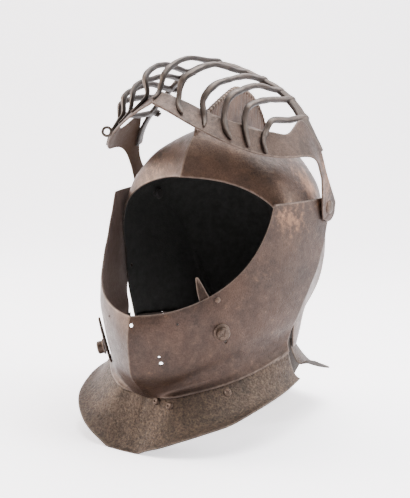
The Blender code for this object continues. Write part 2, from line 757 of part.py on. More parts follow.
def make_pegs():
    profile = (
        (PEG_WASHER_RADIUS, 0),
        (PEG_WASHER_RADIUS * 0.95, 0.0012),
        (PEG_HEAD_RADIUS, 0.0014),
        (PEG_HEAD_RADIUS, PEG_HEIGHT - 0.0010),
        (PEG_HEAD_RADIUS * 0.80, PEG_HEIGHT),
    )
    strap_top = STRAP_WALL + 0.0024
    for name, (angle, height), lift in (("peg_left", PEG_LEFT, 0), ("peg_right", PEG_RIGHT, strap_top)):
        outward = bevor_outward(angle, height)
        centre = bevor_point(angle, height) + outward * (GAP + lift)
        turned(name, profile, centre, outward, JAW, BAR_IRON)


def make_strap():
    plate("catch_strap", strap_grid(9, 4), STRAP_WALL, JAW, BAR_IRON, mirror=False)


def make_spike():
    plate("face_spike", spike_grid(), SPIKE_WALL, JAW, BAR_IRON, mirror=False)


def rivet(name, place, outward, radius, height):
    """A low domed rivet head."""
    dome = ((radius, 0), (radius * 0.86, height * 0.60), (radius * 0.45, height))
    turned(name, dome, place, outward, JAW, BAR_IRON, sides=12)


def make_rivets(front_gorget):
    outward = bevor_outward(*SPIKE_RIVET)
    rivet("spike_rivet", bevor_point(*SPIKE_RIVET) + outward * GAP, outward, *SPIKE_HEAD)
    rows, columns = front_gorget.shape[:2]
    for name, across, down, radius, height in GORGET_RIVETS:
        point, outward = on_facet(front_gorget, across * (rows - 1), 2 + down * (columns - 3))
        rivet(name, point + outward * GAP * 1.5, outward, radius, height)


def on_facet(grid, i, j):
    """Point and outward normal of the gorget's facets, between two rows and two columns of its grid."""
    corner = grid[int(i) : int(i) + 2, int(j) : int(j) + 2]
    onward = corner[1].mean(0) - corner[0].mean(0)
    downward = corner[:, 1].mean(0) - corner[:, 0].mean(0)
    point = corner.mean(0).mean(0) + onward * (i % 1 - 0.5) + downward * (j % 1 - 0.5)
    outward = np.cross(downward, onward)
    return point, outward / np.linalg.norm(outward)


clear_scene()
HELMET = collection("close_helmet")
HEAD = holder("head", (0, PIVOT_Y, 0))
JAW = holder("bevor_hinge", (0, PIVOT_Y, PIVOT_Z))
VISOR_HINGE = holder("visor_hinge", (0, 0, 0), JAW)
PLATE_IRON = iron("browned_plate_iron", IRON)
GORGET_IRON = iron("pitted_gorget_iron", RUSTY_IRON)
BAR_IRON = iron("dark_forged_iron", DARK_IRON)
make_skull()
make_bevor()
FRONT_GORGET = make_gorgets()
make_visor()
make_pivots()
make_pegs()
make_strap()
make_spike()
make_rivets(FRONT_GORGET)
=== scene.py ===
"""The looks of a forged iron close helmet that stands with its barred visor raised.

The helmet faces -Y, +Z is up and the wearer's left is +X. Lengths are metres. In the tables
y is counted from the hinge axis, and z from the surface that the helmet rests on. Every plate
is a numpy surface worked out on a fine grid, moved in by its wall and closed with a round edge.
"""

import json

import bpy
import numpy as np
from mathutils import Matrix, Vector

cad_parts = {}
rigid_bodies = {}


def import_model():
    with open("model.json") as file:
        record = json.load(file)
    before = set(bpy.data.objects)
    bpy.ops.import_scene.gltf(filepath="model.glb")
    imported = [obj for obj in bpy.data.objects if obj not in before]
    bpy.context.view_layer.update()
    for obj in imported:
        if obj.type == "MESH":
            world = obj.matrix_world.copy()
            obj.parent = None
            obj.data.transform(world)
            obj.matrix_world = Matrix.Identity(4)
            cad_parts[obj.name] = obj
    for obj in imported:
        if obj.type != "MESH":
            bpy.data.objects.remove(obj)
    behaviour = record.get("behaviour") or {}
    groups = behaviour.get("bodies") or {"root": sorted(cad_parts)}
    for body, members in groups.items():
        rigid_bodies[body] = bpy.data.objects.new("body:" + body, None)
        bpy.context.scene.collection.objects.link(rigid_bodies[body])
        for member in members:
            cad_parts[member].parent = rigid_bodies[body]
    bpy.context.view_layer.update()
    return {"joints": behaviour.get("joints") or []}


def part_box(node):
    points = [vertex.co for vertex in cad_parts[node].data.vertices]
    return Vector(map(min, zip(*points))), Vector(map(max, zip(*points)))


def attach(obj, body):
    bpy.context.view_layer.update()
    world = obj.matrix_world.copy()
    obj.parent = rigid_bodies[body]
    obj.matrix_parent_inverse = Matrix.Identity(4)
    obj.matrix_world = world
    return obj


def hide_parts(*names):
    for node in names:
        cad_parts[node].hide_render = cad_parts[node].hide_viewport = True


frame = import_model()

# Hinge axis, which runs along X through both temples
HINGE_Y = frame["joints"][0]["pos_m"][1]
HINGE_Z = frame["joints"][0]["pos_m"][2]

# Plate thicknesses, and the gap kept between pieces that touch
SKULL_WALL = 0.0020
BEVOR_WALL = 0.0018
GORGET_WALL = 0.0016
VISOR_WALL = 0.0020
GAP = 0.0003

# Skull hoops from the face rim back and down to the nape:
# crest y, z | side x, y, z | angle of the foot round the neck | fullness | ridge y, z
HOOPS = (
    (-0.0960, 0.2430, 0.0995, -0.0460, 0.1650, 97, 0.66, -0.028, 0.000),
    (-0.0810, 0.2745, 0.0995, -0.0335, 0.1860, 100, 0.77, -0.019, 0.008),
    (-0.0535, 0.2915, 0.1000, -0.0220, 0.1995, 104, 0.99, -0.008, 0.012),
    (-0.0070, 0.2965, 0.1000, -0.0110, 0.2055, 109, 1.09, 0.000, 0.012),
    (0.0410, 0.2875, 0.0975, 0.0025, 0.2070, 115, 1.23, 0.003, 0.008),
    (0.0730, 0.2570, 0.0940, 0.0170, 0.2020, 122, 1.38, 0.003, 0.004),
    (0.0860, 0.2135, 0.0900, 0.0310, 0.1915, 129, 1.32, 0.000, 0.000),
    (0.0845, 0.1680, 0.0855, 0.0435, 0.1735, 136, 1.28, 0.000, 0.000),
    (0.0710, 0.1275, 0.0760, 0.0540, 0.1455, 141, 1.20, 0.000, 0.000),
    (0.0590, 0.1030, 0.0550, 0.0500, 0.1105, 145, 1.13, 0.000, 0.000),
    (0.0500, 0.0845, 0.0290, 0.0427, 0.0845, 148, 1.05, 0.000, 0.000),
)
# How far the ridge spreads to each side, and the share of a hoop that lies above its side point
RIDGE_REACH = 0.030
SIDE_SHARE = 0.66

# Neck edge of the skull: half a flattened ring about its own middle
NECK_Y = -0.040
NECK_HALF_WIDTH = 0.0945
NECK_DEPTH = 0.090
NECK_POWER = 1.7
NECK_Z = 0.084

# Comb: place along the hoops, then y, z of its top edge
COMB = (
    (1.20, -0.0755, 0.2830),
    (1.70, -0.0570, 0.3015),
    (2.30, -0.0330, 0.3160),
    (2.80, -0.0095, 0.3276),
    (3.20, 0.0060, 0.3298),
    (3.75, 0.0330, 0.3224),
    (4.30, 0.0545, 0.3030),
    (4.70, 0.0660, 0.2830),
    (5.05, 0.0755, 0.2600),
)
# How deep its root sits in the skull, its half thickness at foot and neck, its roped bead and its lines
COMB_ROOT = 0.0016
COMB_FOOT_HALF = 0.0026
COMB_NECK_HALF = 0.0014
ROPE_RADIUS = 0.0024
ROPE_PITCH = 0.0052
ROPE_SWELL = 0.32
COMB_LINE_PITCH = 0.0068
COMB_LINE_DEPTH = 0.0007
COMB_LINE_WANDER = 0.0012

# Bevor sections from the bottom up: z, half width, depth to the front, keel
BEVOR_SECTIONS = (
    (0.041, 0.0865, 0.1420, 0.0000),
    (0.050, 0.0885, 0.1425, 0.0080),
    (0.064, 0.0920, 0.1470, 0.0185),
    (0.080, 0.0960, 0.1530, 0.0175),
    (0.100, 0.1010, 0.1590, 0.0145),
    (0.121, 0.1055, 0.1640, 0.0060),
    (0.150, 0.1080, 0.1610, 0.0000),
    (0.185, 0.1075, 0.1560, 0.0000),
    (0.226, 0.1055, 0.1500, 0.0000),
)
KEEL_REACH = 0.034

# Outline of the bevor: angle from the front in degrees, height
BEVOR_SEAM = ((0, 0.041), (13, 0.0445), (26, 0.050), (44, 0.0585), (60, 0.070), (72.5, 0.083))
BEVOR_RIM = (
    (0, 0.1207),
    (15, 0.1250),
    (28, 0.1340),
    (40, 0.1490),
    (50, 0.1710),
    (56.5, 0.1970),
    (59.5, 0.2215),
)
BEVOR_TOP = ((59.5, 0.2215), (76, 0.2240), (92.5, 0.2260))
BEVOR_REAR = (
    (72.5, 0.0830),
    (74.5, 0.1050),
    (77.5, 0.1290),
    (82, 0.1500),
    (86.5, 0.1720),
    (90, 0.1950),
    (92.5, 0.2120),
    (92.5, 0.2260),
)
# Share of the way from keel to rear edge that runs along the rim of the face opening
RIM_SHARE = 0.62

# Flange turned out along the bottom of the bevor: how far, its share of the height, and the shares
# across between which it rises from nothing, as there is none at the keel
FLANGE = 0.0055
FLANGE_SHARE = 0.07
FLANGE_START = (0.08, 0.35)
# Groove above the flange: its depth, and its place and width as shares of the height
FLANGE_TUCK = 0.0012
TUCK_PLACE = 0.13
TUCK_WIDTH = 0.05

# Lower rims of the gorget plates: x, y, z
FRONT_RIM = (
    (0.0000, -0.1780, -0.0015),
    (0.0120, -0.1775, -0.0010),
    (0.0250, -0.1765, 0.0050),
    (0.0380, -0.1735, 0.0100),
    (0.0520, -0.1670, 0.0155),
    (0.0680, -0.1545, 0.0220),
    (0.0840, -0.1355, 0.0290),
    (0.0940, -0.1125, 0.0365),
    (0.1000, -0.0860, 0.0430),
    (0.1015, -0.0570, 0.0475),
    (0.1000, -0.0270, 0.0520),
)
REAR_RIM = (
    (0.0975, -0.0120, 0.0665),
    (0.0965, 0.0080, 0.0625),
    (0.0900, 0.0415, 0.0515),
    (0.0790, 0.0830, 0.0390),
    (0.0580, 0.1000, 0.0370),
    (0.0400, 0.1060, 0.0360),
    (0.0320, 0.1080, 0.0325),
    (0.0250, 0.1095, 0.0215),
    (0.0190, 0.1105, 0.0080),
    (0.0145, 0.1115, 0.0000),
    (0.0085, 0.1120, -0.0010),
    (0.0000, 0.1120, -0.0010),
)
# Sag of their slopes, angles from the front between which the rear plate runs, and its height in the skull
FRONT_SAG = 0.006
REAR_SAG = 0.008
REAR_ANGLES = (98, 180)
REAR_HIDDEN = 0.0065

# Visor band and arm, raised: front edge x, y, z | rear edge x, y, z
VISOR_BAND = (
    (0.0000, -0.1455, 0.3105, 0.0000, -0.1320, 0.3200),
    (0.0230, -0.1415, 0.3000, 0.0240, -0.1240, 0.3110),
    (0.0450, -0.1337, 0.2880, 0.0430, -0.1170, 0.3020),
    (0.0650, -0.1210, 0.2775, 0.0620, -0.1060, 0.2950),
    (0.0830, -0.1010, 0.2690, 0.0760, -0.0920, 0.2890),
    (0.0980, -0.0790, 0.2655, 0.0885, -0.0770, 0.2865),
    (0.1065, -0.0610, 0.2665, 0.0945, -0.0600, 0.2870),
    (0.1105, -0.0435, 0.2660, 0.0935, -0.0375, 0.2985),
    (0.1115, -0.0315, 0.2590, 0.1010, -0.0260, 0.2850),
    (0.1115, -0.0250, 0.2490, 0.1070, -0.0180, 0.2690),
    (0.1112, -0.0205, 0.2390, 0.1094, -0.0095, 0.2490),
)
# Round lobe at the arm's end: radius, outer face, angles of its rows, and lean of the arm in degrees
LOBE_RADIUS = 0.0135
LOBE_OUTER = 0.1089
LOBE_TURNS = (-4, 26, 54, 74, 84)
ARM_LEAN = 31

# Brow bar of the visor, from the midline to inside the arm
BROW_BAR = (
    (0.0000, -0.0412, 0.3500),
    (0.0372, -0.0355, 0.3403),
    (0.0686, -0.0225, 0.3212),
    (0.0885, -0.0228, 0.2994),
    (0.0990, -0.0225, 0.2820),
    (0.1050, -0.0190, 0.2690),
)

# Visor bars from the temple to the midline, each from its foot on the band to its hook on the brow bar
BARS = (
    (
        (0.0893, -0.0922, 0.2676),
        (0.0859, -0.0920, 0.2771),
        (0.0830, -0.0850, 0.2876),
        (0.0838, -0.0790, 0.2960),
        (0.0845, -0.0680, 0.2983),
        (0.0855, -0.0450, 0.2985),
        (0.0867, -0.0195, 0.3020),
    ),
    (
        (0.0785, -0.1059, 0.2740),
        (0.0720, -0.1030, 0.2850),
        (0.0695, -0.1001, 0.2945),
        (0.0703, -0.0988, 0.3065),
        (0.0708, -0.0880, 0.3120),
        (0.0714, -0.0560, 0.3165),
        (0.0720, -0.0205, 0.3185),
    ),
    (
        (0.0667, -0.1173, 0.2791),
        (0.0600, -0.1169, 0.2906),
        (0.0555, -0.1125, 0.3000),
        (0.0570, -0.1105, 0.3130),
        (0.0584, -0.0933, 0.3225),
        (0.0600, -0.0600, 0.3290),
        (0.0622, -0.0245, 0.3265),
    ),
    (
        (0.0465, -0.1310, 0.2900),
        (0.0402, -0.1225, 0.3010),
        (0.0388, -0.1222, 0.3110),
        (0.0410, -0.1163, 0.3220),
        (0.0432, -0.0860, 0.3330),
        (0.0452, -0.0520, 0.3375),
        (0.0470, -0.0307, 0.3365),
    ),
    (
        (0.0281, -0.1371, 0.3000),
        (0.0211, -0.1343, 0.3088),
        (0.0175, -0.1280, 0.3180),
        (0.0200, -0.1280, 0.3285),
        (0.0245, -0.1170, 0.3380),
        (0.0280, -0.0860, 0.3465),
        (0.0312, -0.0372, 0.3430),
    ),
)
MEDIAN_BAR = (
    (0.0000, -0.1430, 0.3125),
    (0.0000, -0.1340, 0.3190),
    (0.0000, -0.1290, 0.3320),
    (0.0000, -0.1147, 0.3439),
    (0.0000, -0.0904, 0.3519),
    (0.0000, -0.0412, 0.3530),
)

# Bar section from foot to hook: share of the length, half width, half thickness
BAR_SECTION = (
    (0.00, 0.0009, 0.0009),
    (0.03, 0.0020, 0.0016),
    (0.12, 0.0026, 0.0021),
    (0.24, 0.0029, 0.0024),
    (0.36, 0.0031, 0.0026),
    (0.70, 0.0029, 0.0025),
    (0.84, 0.0031, 0.0024),
    (0.93, 0.0038, 0.0026),
    (0.98, 0.0040, 0.0028),
    (1.00, 0.0030, 0.0020),
)
BROW_SECTION = (
    (0.00, 0.0066, 0.0016),
    (0.15, 0.0064, 0.0020),
    (0.34, 0.0040, 0.0028),
    (0.66, 0.0040, 0.0028),
    (0.85, 0.0064, 0.0020),
    (1.00, 0.0066, 0.0016),
)
# Hook at the end of a bar: how far back and how far down its three last points lie
HOOK_DROP = ((0.0040, 0.0000), (0.0060, 0.0018), (0.0058, 0.0038))
# Height of a bar's foot over the band, the shares of its length where it leaves it, and the point its
# back faces away from
BAR_LIFT = 0.0012
BAR_LEAVES = (0.14, 0.34)
BAR_CENTRE = (0.0, 0.010, 0.215)

# Lifting ring on the wearer's right of the visor's front edge
RING_CENTRE = (-0.0630, -0.1275, 0.2822)
RING_FOOT = (-0.0570, -0.1232, 0.2812)
RING_AXIS = (0.53, -0.84, 0.13)
# Radius of the ring and half thickness of its wire, and how deep the staple's ends sink in
RING_RADIUS = 0.0040
RING_WIRE = 0.0013
RING_SINK = 0.001

# Pivot rivet along X
SHANK_RADIUS = 0.0035
HEAD_RADIUS = 0.0066
HEAD_TIP = 0.1107
COLLAR_RADIUS = 0.0070
COLLAR_START = 0.0996
COLLAR_END = 0.1030
TAIL_RADIUS = 0.0060
TAIL_TOP = 0.0910

# Small holes in the bevor: x, z, radius
BEVOR_HOLES = (
    (0.0024, 0.1134, 0.0018),
    (0.0244, 0.0856, 0.0012),
    (0.0253, 0.0796, 0.0018),
    (0.0689, 0.0996, 0.0014),
    (0.0399, 0.1165, 0.0012),
    (-0.0322, 0.1151, 0.0012),
)
# Small holes low in the back of the skull: x, y, z, radius
SKULL_HOLES = (
    (-0.0822, -0.0012, 0.0885, 0.0017),
    (-0.0637, 0.0262, 0.0920, 0.0018),
    (-0.0984, -0.0385, 0.1430, 0.0012),
)

# Pegs: angle round the bevor, height
PEG_LEFT = (40.8, 0.1093)
PEG_RIGHT = (-39.5, 0.0770)
PEG_WASHER_RADIUS = 0.0078
PEG_HEAD_RADIUS = 0.0062
PEG_HEIGHT = 0.0072

# Catch strap on the wearer's right: angle of its middle, lower and upper end, greatest width
STRAP_ANGLE = -38.5
STRAP_ENDS = (0.0620, 0.1050)
STRAP_WIDTH = 0.0120
STRAP_WALL = 0.0018
STRAP_LIFT = 0.0014

# Face spike inside the rim, from foot to tip: angle, height, depth inside the outer face, half width
SPIKE_LINE = (
    (35.5, 0.1290, 0.0041, 0.0050),
    (32.0, 0.1420, 0.0043, 0.0042),
    (28.5, 0.1575, 0.0085, 0.0010),
)
SPIKE_WALL = 0.0016

# Rivet of the face spike: angle round the bevor and height of its place, radius and height of its head
SPIKE_RIVET = (37.7, 0.1385)
SPIKE_HEAD = (0.0026, 0.0013)
# Rivets of the front gorget: name, radius and height of the head
GORGET_RIVETS = (
    ("gorget_rivet_middle", 0.0036, 0.0018),
    ("gorget_rivet_left", 0.0036, 0.0016),
    ("gorget_rivet_side", 0.0040, 0.0006),
)

# Hammer marks: how far apart they lie, and how deep they are
PLATE_DENTS = (0.034, 0.00028)
BAND_DENTS = (0.030, 0.00010)
BAR_DENTS = (0.013, 0.00022)
STRAP_DENTS = (0.020, 0.00010)
SPIKE_DENTS = (0.010, 0.00010)
WIRE_DENTS = (0.004, 0.00006)
DENT_WAVES = 14

# Rounding of a plate's edge, the width of the metal rubbed bare along it, and the reach of a rubbed ridge
RIM_STEPS = 4
EDGE_WEAR = 0.0012
RIDGE_WEAR = 0.0030
COMB_WEAR = 0.0012

# Rust patches: x, y, z, radius, strength
RUST_SPOTS = (
    (0.094, -0.050, 0.205, 0.018, 0.55),
    (0.090, -0.068, 0.210, 0.012, 0.55),
    (0.098, -0.010, 0.255, 0.022, 0.9),
    (0.099, -0.010, 0.232, 0.014, 0.8),
    (0.060, -0.085, 0.250, 0.020, 0.4),
    (0.085, -0.085, 0.165, 0.012, 0.3),
    (0.070, -0.110, 0.125, 0.010, 0.3),
    (-0.060, -0.110, 0.100, 0.030, 0.3),
    (-0.078, -0.035, 0.240, 0.034, 0.35),
    (-0.045, -0.075, 0.250, 0.026, 0.25),
)

# Sweep behind the helmet: half its width, front end, foot of the curve, radius of the curve, top edge
SWEEP_HALF_WIDTH = 30.0
SWEEP_FRONT = -30.0
SWEEP_FOOT = 1.2
SWEEP_RADIUS = 1.0
SWEEP_TOP = 14.0

# Soft boxes, all turned to the middle of the helmet: name, place, size, watts, colour
SOFT_BOXES = (
    ("key_softbox", (-1.7, -0.8, 0.6), 1.3, 100, "#fff0e2"),
    ("top_softbox", (0.2, 0.3, 1.9), 1.6, 120, "#ffffff"),
    ("fill_softbox", (1.6, 0.5, 0.9), 1.2, 60, "#ffffff"),
)
LIGHT_TARGET = (0, 0, 0.18)
ROOM_STRENGTH = 0.40
SWEEP_GLOW = 1.25

# Camera: where it looks, its turn round the helmet, height angle and roll in degrees, distance and lens
CAMERA_TARGET = (-0.0132, 0.0053, 0.1670)
CAMERA_TURN = 32.2
CAMERA_RISE = 7.4
CAMERA_ROLL = 1.9
CAMERA_DISTANCE = 1.0
LENS_MM = 71.66


# Curves and grids


def spline(knots, rows, at):
    """Natural cubic through rows, which stand at knots, read at the places in at."""
    knots, rows, at = (np.asarray(given, float) for given in (knots, rows, at))
    count = len(knots)
    step = np.diff(knots)
    system = np.eye(count)
    right = np.zeros(rows.shape)
    for i in range(1, count - 1):
        system[i, i - 1 : i + 2] = step[i - 1], 2 * (step[i - 1] + step[i]), step[i]
        right[i] = 6 * ((rows[i + 1] - rows[i]) / step[i] - (rows[i] - rows[i - 1]) / step[i - 1])
    bend = np.linalg.solve(system, right)
    i = np.clip(np.searchsorted(knots, at, side="right") - 1, 0, count - 2)
    span = step[i][..., None]
    t = (at - knots[i])[..., None] / span
    s = 1 - t
    pull = (s**3 - s) * bend[i] + (t**3 - t) * bend[i + 1]
    return rows[i] * s + rows[i + 1] * t + pull * span * span / 6


def along(table, share):
    """Point of the smooth curve through a table's rows, at a share of its rows."""
    return spline(np.arange(len(table)), table, np.asarray(share, float) * (len(table) - 1))


def steps(start, *spans):
    """Rising places. Each span goes on to its end, in as many points as it says with both ends counted."""
    places = [start]
    for end, count in spans:
        places.extend(np.linspace(places[-1], end, count)[1:])
    return np.array(places)


def smooth_step(low, high, value):
    t = np.clip((value - low) / (high - low), 0, 1)
    return t * t * (3 - 2 * t)


def unit(vectors):
    return vectors / np.maximum(np.linalg.norm(vectors, axis=-1, keepdims=True), 1e-12)


def normals(grid):
    """Unit normals of a grid of points, along its first direction crossed with its second."""
    return unit(np.cross(np.gradient(grid, axis=0), np.gradient(grid, axis=1)))


def waves(points, pitch, depth):
    """Soft unevenness, about pitch long and depth high.

    Height = depth x sum of sin(2 pi x point . direction + phase) / root of their number, over sine
    waves in random directions that a fixed seed gives.
    """
    chance = np.random.default_rng(3)
    directions = unit(chance.normal(size=(DENT_WAVES, 3)))
    directions = directions / (pitch * chance.uniform(0.7, 1.5, (DENT_WAVES, 1)))
    phases = chance.uniform(0, 2 * np.pi, DENT_WAVES)
    return depth * np.sin(2 * np.pi * points @ directions.T + phases).sum(-1) / np.sqrt(DENT_WAVES)


def distances(line):
    """Distance of each point of a line from its start, measured along it."""
    return np.concatenate([[0], np.cumsum(np.linalg.norm(np.diff(line, axis=0), axis=-1))])


def high_spots(grid, outward, reach):
    """How sharply a grid bulges: a point's height over the middle of two others, at reach on each side."""
    bulge = np.zeros(grid.shape[:2])
    for axis in (0, 1):
        spacing = np.median(np.linalg.norm(np.diff(grid, axis=axis), axis=-1))
        step = int(np.clip(round(reach / spacing), 1, grid.shape[axis] // 4))
        lines = np.moveaxis(grid, axis, 0)
        facing = np.moveaxis(outward, axis, 0)
        middle = (lines[2 * step :] + lines[: -2 * step]) / 2
        half_span = np.linalg.norm(lines[2 * step :] - lines[: -2 * step], axis=-1) / 2
        height = ((lines[step:-step] - middle) * facing[step:-step]).sum(-1) / np.maximum(half_span, 1e-6)
        padding = ((step, step), (0, 0))
        bulge = np.maximum(bulge, np.moveaxis(np.pad(height, padding, mode="edge"), 0, axis))
    return bulge


def edge_distance(grid):
    """Distance of each point from the grid's nearest border, measured along its lines."""
    nearest = np.full(grid.shape[:2], np.inf)
    for axis in (0, 1):
        lengths = np.linalg.norm(np.diff(grid, axis=axis), axis=-1)
        start = np.zeros_like(np.take(lengths, [0], axis))
        run = np.concatenate([start, np.cumsum(lengths, axis)], axis)
        nearest = np.minimum(nearest, np.minimum(run, np.take(run, [-1], axis) - run))
    return nearest


def both_sides(half, axis):
    """A half grid that starts on the midline, joined to its mirror image."""
    lines = np.moveaxis(half, axis, 0)
    return np.moveaxis(np.concatenate([lines[:0:-1] * [-1, 1, 1], lines]), 0, axis)


def spots(points, table):
    """Sum of soft round patches, each falling off as exp(-distance squared / radius squared)."""
    total = np.zeros(points.shape[:-1])
    for x, y, z, radius, strength in table:
        total += strength * np.exp(-((points - [x, y, z]) ** 2).sum(-1) / radius**2)
    return total


def nearest_on(surface, points):
    """The surface point nearest to each given point, and the normal there."""
    flat = surface.reshape(-1, 3)
    nearest = ((flat[None] - np.asarray(points)[:, None]) ** 2).sum(-1).argmin(1)
    return flat[nearest], normals(surface).reshape(-1, 3)[nearest]


def directions_round(axis):
    """Side, over and the axis itself, at right angles. Over points as far up as it can."""
    axis = unit(np.asarray(axis, float))
    over = unit(np.array([0, 0, 1]) - axis[2] * axis)
    return np.cross(over, axis), over, axis


# Mesh makers


def placed(name, data, matrix=None):
    made = bpy.data.objects.new(name, data)
    if matrix is not None:
        made.matrix_world = matrix
    bpy.context.scene.collection.objects.link(made)
    return made


def smooth_mesh(name, points, faces):
    mesh = bpy.data.meshes.new(name)
    mesh.from_pydata(points.tolist(), [], faces)
    mesh.shade_smooth()
    return mesh


def piece(name, points, faces, worn, inside, run=None):
    """A mesh object whose points say how worn and rusty they are and whether they lie inside.

    With run they also say where they lie along and across a bar.
    """
    mesh = smooth_mesh(name, np.maximum(points, [-1, -1, 0]) + [0, HINGE_Y, 0], faces)
    for mark, values in (("worn", worn), ("inside", inside), ("rust", spots(points, RUST_SPOTS))):
        attribute = mesh.attributes.new(mark, "FLOAT", "POINT")
        attribute.data.foreach_set("value", values.astype(np.float32).ravel())
    if run is not None:
        attribute = mesh.attributes.new("run", "FLOAT_VECTOR", "POINT")
        attribute.data.foreach_set("vector", run.astype(np.float32).ravel())
    return placed(name, mesh)


def numbered(rows, columns):
    """The numbers of a grid's points, counted row by row."""
    return np.arange(rows * columns).reshape(rows, columns)


def grid_faces(index):
    """Four-sided faces between the points of a grid."""
    return np.stack([index[:-1, :-1], index[1:, :-1], index[1:, 1:], index[:-1, 1:]], -1).reshape(-1, 4)


def border(rows, columns):
    """Grid indices once round the border, in the direction that keeps the outer face on the left."""
    low, right = rows - 1, columns - 1
    down, across = np.arange(low), np.arange(right)
    i = np.concatenate([down, np.full(right, low), low - down, np.zeros(right, int)])
    j = np.concatenate([np.zeros(low, int), across, np.full(low, right), right - across])
    return i, j


def shell(name, outer, wall, dents=PLATE_DENTS):
    """A closed plate from the grid of its outer face.

    Inner face = outer - normal x wall. Round edge = middle of the wall + cos(a) x normal x wall / 2
    + sin(a) x away x wall / 2, where away points out of the plate and a runs from 0 to 180 degrees.
    """
    rows, columns = outer.shape[:2]
    outer = outer + normals(outer) * waves(outer, *dents)[..., None]
    facing = normals(outer)
    inner = outer - facing * wall
    away = np.zeros_like(outer)
    away[0] += unit(outer[0] - outer[1])
    away[-1] += unit(outer[-1] - outer[-2])
    away[:, 0] += unit(outer[:, 0] - outer[:, 1])
    away[:, -1] += unit(outer[:, -1] - outer[:, -2])
    i, j = border(rows, columns)
    middle = (outer[i, j] + inner[i, j]) / 2
    rim_share = np.arange(1, RIM_STEPS) / RIM_STEPS
    turn = np.pi * rim_share
    lift = np.cos(turn)[:, None, None] * facing[i, j] + np.sin(turn)[:, None, None] * unit(away[i, j])
    edge = middle + lift * wall / 2
    points = np.concatenate([outer.reshape(-1, 3), inner.reshape(-1, 3), edge.reshape(-1, 3)])
    index = numbered(rows, columns)
    quads = grid_faces(index)
    ring = [index[i, j]]
    for step in range(RIM_STEPS - 1):
        ring.append(2 * rows * columns + step * len(i) + np.arange(len(i)))
    ring.append(rows * columns + index[i, j])
    ring = np.array(ring)
    after = np.roll(ring, -1, axis=1)
    rim = np.stack([after[:-1], ring[:-1], ring[1:], after[1:]], -1).reshape(-1, 4)
    faces = np.concatenate([quads, quads[:, ::-1] + rows * columns, rim])
    near_edge = np.exp(-edge_distance(outer) / EDGE_WEAR)
    ridges = smooth_step(0.05, 0.35, high_spots(outer, facing, RIDGE_WEAR))
    worn_outside = np.maximum(ridges, 0.7 * near_edge).ravel()
    worn_inside = 0.3 * near_edge.ravel()
    worn = np.concatenate([worn_outside, worn_inside, np.full(edge.size // 3, 0.4)])
    inside = np.concatenate([np.zeros(index.size), np.ones(index.size), np.repeat(rim_share, len(i))])
    return piece(name, points, faces.tolist(), worn, inside)


def ring_faces(index, closed=False):
    """Four-sided faces between each ring of points and the next one."""
    low = index if closed else index[:-1]
    high = np.roll(index, -1, axis=0) if closed else index[1:]
    corners = [low, np.roll(low, -1, axis=1), np.roll(high, -1, axis=1), high]
    return np.stack(corners, -1).reshape(-1, 4).tolist()


def cap_faces(index):
    """Triangles that close the first and the last ring, round two middle points added after the rings."""
    around = index.shape[1]
    start = np.stack([np.full(around, index.size), np.roll(index[0], -1), index[0]], -1)
    end = np.stack([np.full(around, index.size + 1), index[-1], np.roll(index[-1], -1)], -1)
    return start.tolist() + end.tolist()


def swept(name, line, up, section, dents=BAR_DENTS, around=20, squareness=2.6, closed=False):
    """A forged bar: an oval section carried along a line, its flat side facing up.

    Point = line + side x half width x cos(a)^(2/n) + up x half thickness x sin(a)^(2/n), n the squareness.
    """
    tangent = unit(np.gradient(line, axis=0))
    if closed:
        tangent = unit(np.roll(line, -1, axis=0) - np.roll(line, 1, axis=0))
    up = unit(up - (up * tangent).sum(-1, keepdims=True) * tangent)
    side = np.cross(tangent, up)
    turn = np.linspace(0, 2 * np.pi, around, endpoint=False)
    power = 2 / squareness
    wide = np.sign(np.cos(turn)) * np.abs(np.cos(turn)) ** power
    thick = np.sign(np.sin(turn)) * np.abs(np.sin(turn)) ** power
    offset_side = section[:, 0, None] * wide
    offset_up = section[:, 1, None] * thick
    ring = side[:, None] * offset_side[..., None] + up[:, None] * offset_up[..., None]
    points = line[:, None] + ring
    points = points + unit(ring) * waves(points, *dents)[..., None]
    count = len(line)
    index = numbered(count, around)
    faces = ring_faces(index, closed)
    distance = distances(line)
    run = np.stack([distance[:, None] + 0 * offset_side, offset_side, offset_up], -1).reshape(-1, 3)
    points = points.reshape(-1, 3)
    worn = np.repeat(smooth_step(0.3, 1.0, thick)[None], count, 0).ravel() * 0.6
    if not closed:
        faces += cap_faces(index)
        points = np.concatenate([points, line[:1], line[-1:]])
        run = np.concatenate([run, [[0, 0, 0], [distance[-1], 0, 0]]])
        worn = np.concatenate([worn, [0.5, 0.5]])
    return piece(name, points, faces, worn, np.zeros(len(points)), run)


def turned(name, profile, centre, axis, around=48, carve=None, inside_to=-1):
    """A turned piece: radius and height of its profile, spun round an axis and closed at both ends.

    Point = centre + radius x (side x cos(a) + over x sin(a)) + axis x height. carve(side, over, height)
    lowers a point by what it gives. What lies lower than inside_to is painted near black with the inner
    colour, as painted shade.
    """
    side, over, axis = directions_round(axis)
    turn = np.linspace(0, 2 * np.pi, around, endpoint=False)
    radius, height = np.asarray(profile, float).T
    across = radius[:, None] * np.cos(turn)
    upward = radius[:, None] * np.sin(turn)
    level = height[:, None] + 0 * across
    if carve:
        level = level - carve(across, upward, level)
    points = centre + across[..., None] * side + upward[..., None] * over + level[..., None] * axis
    count = len(radius)
    index = numbered(count, around)
    caps = np.stack([points[0].mean(0), points[-1].mean(0)])
    steep = np.abs(np.gradient(np.gradient(height))) + np.abs(np.gradient(np.gradient(radius)))
    worn = np.repeat(np.clip(steep / 0.0004, 0, 1)[:, None], around, 1).ravel()
    worn = np.concatenate([worn, [0, 0.3]])
    inside = np.concatenate([(level < inside_to).ravel(), [height[0] < inside_to, height[-1] < inside_to]])
    points = np.concatenate([points.reshape(-1, 3), caps])
    return piece(name, points, ring_faces(index) + cap_faces(index), worn, inside, points)


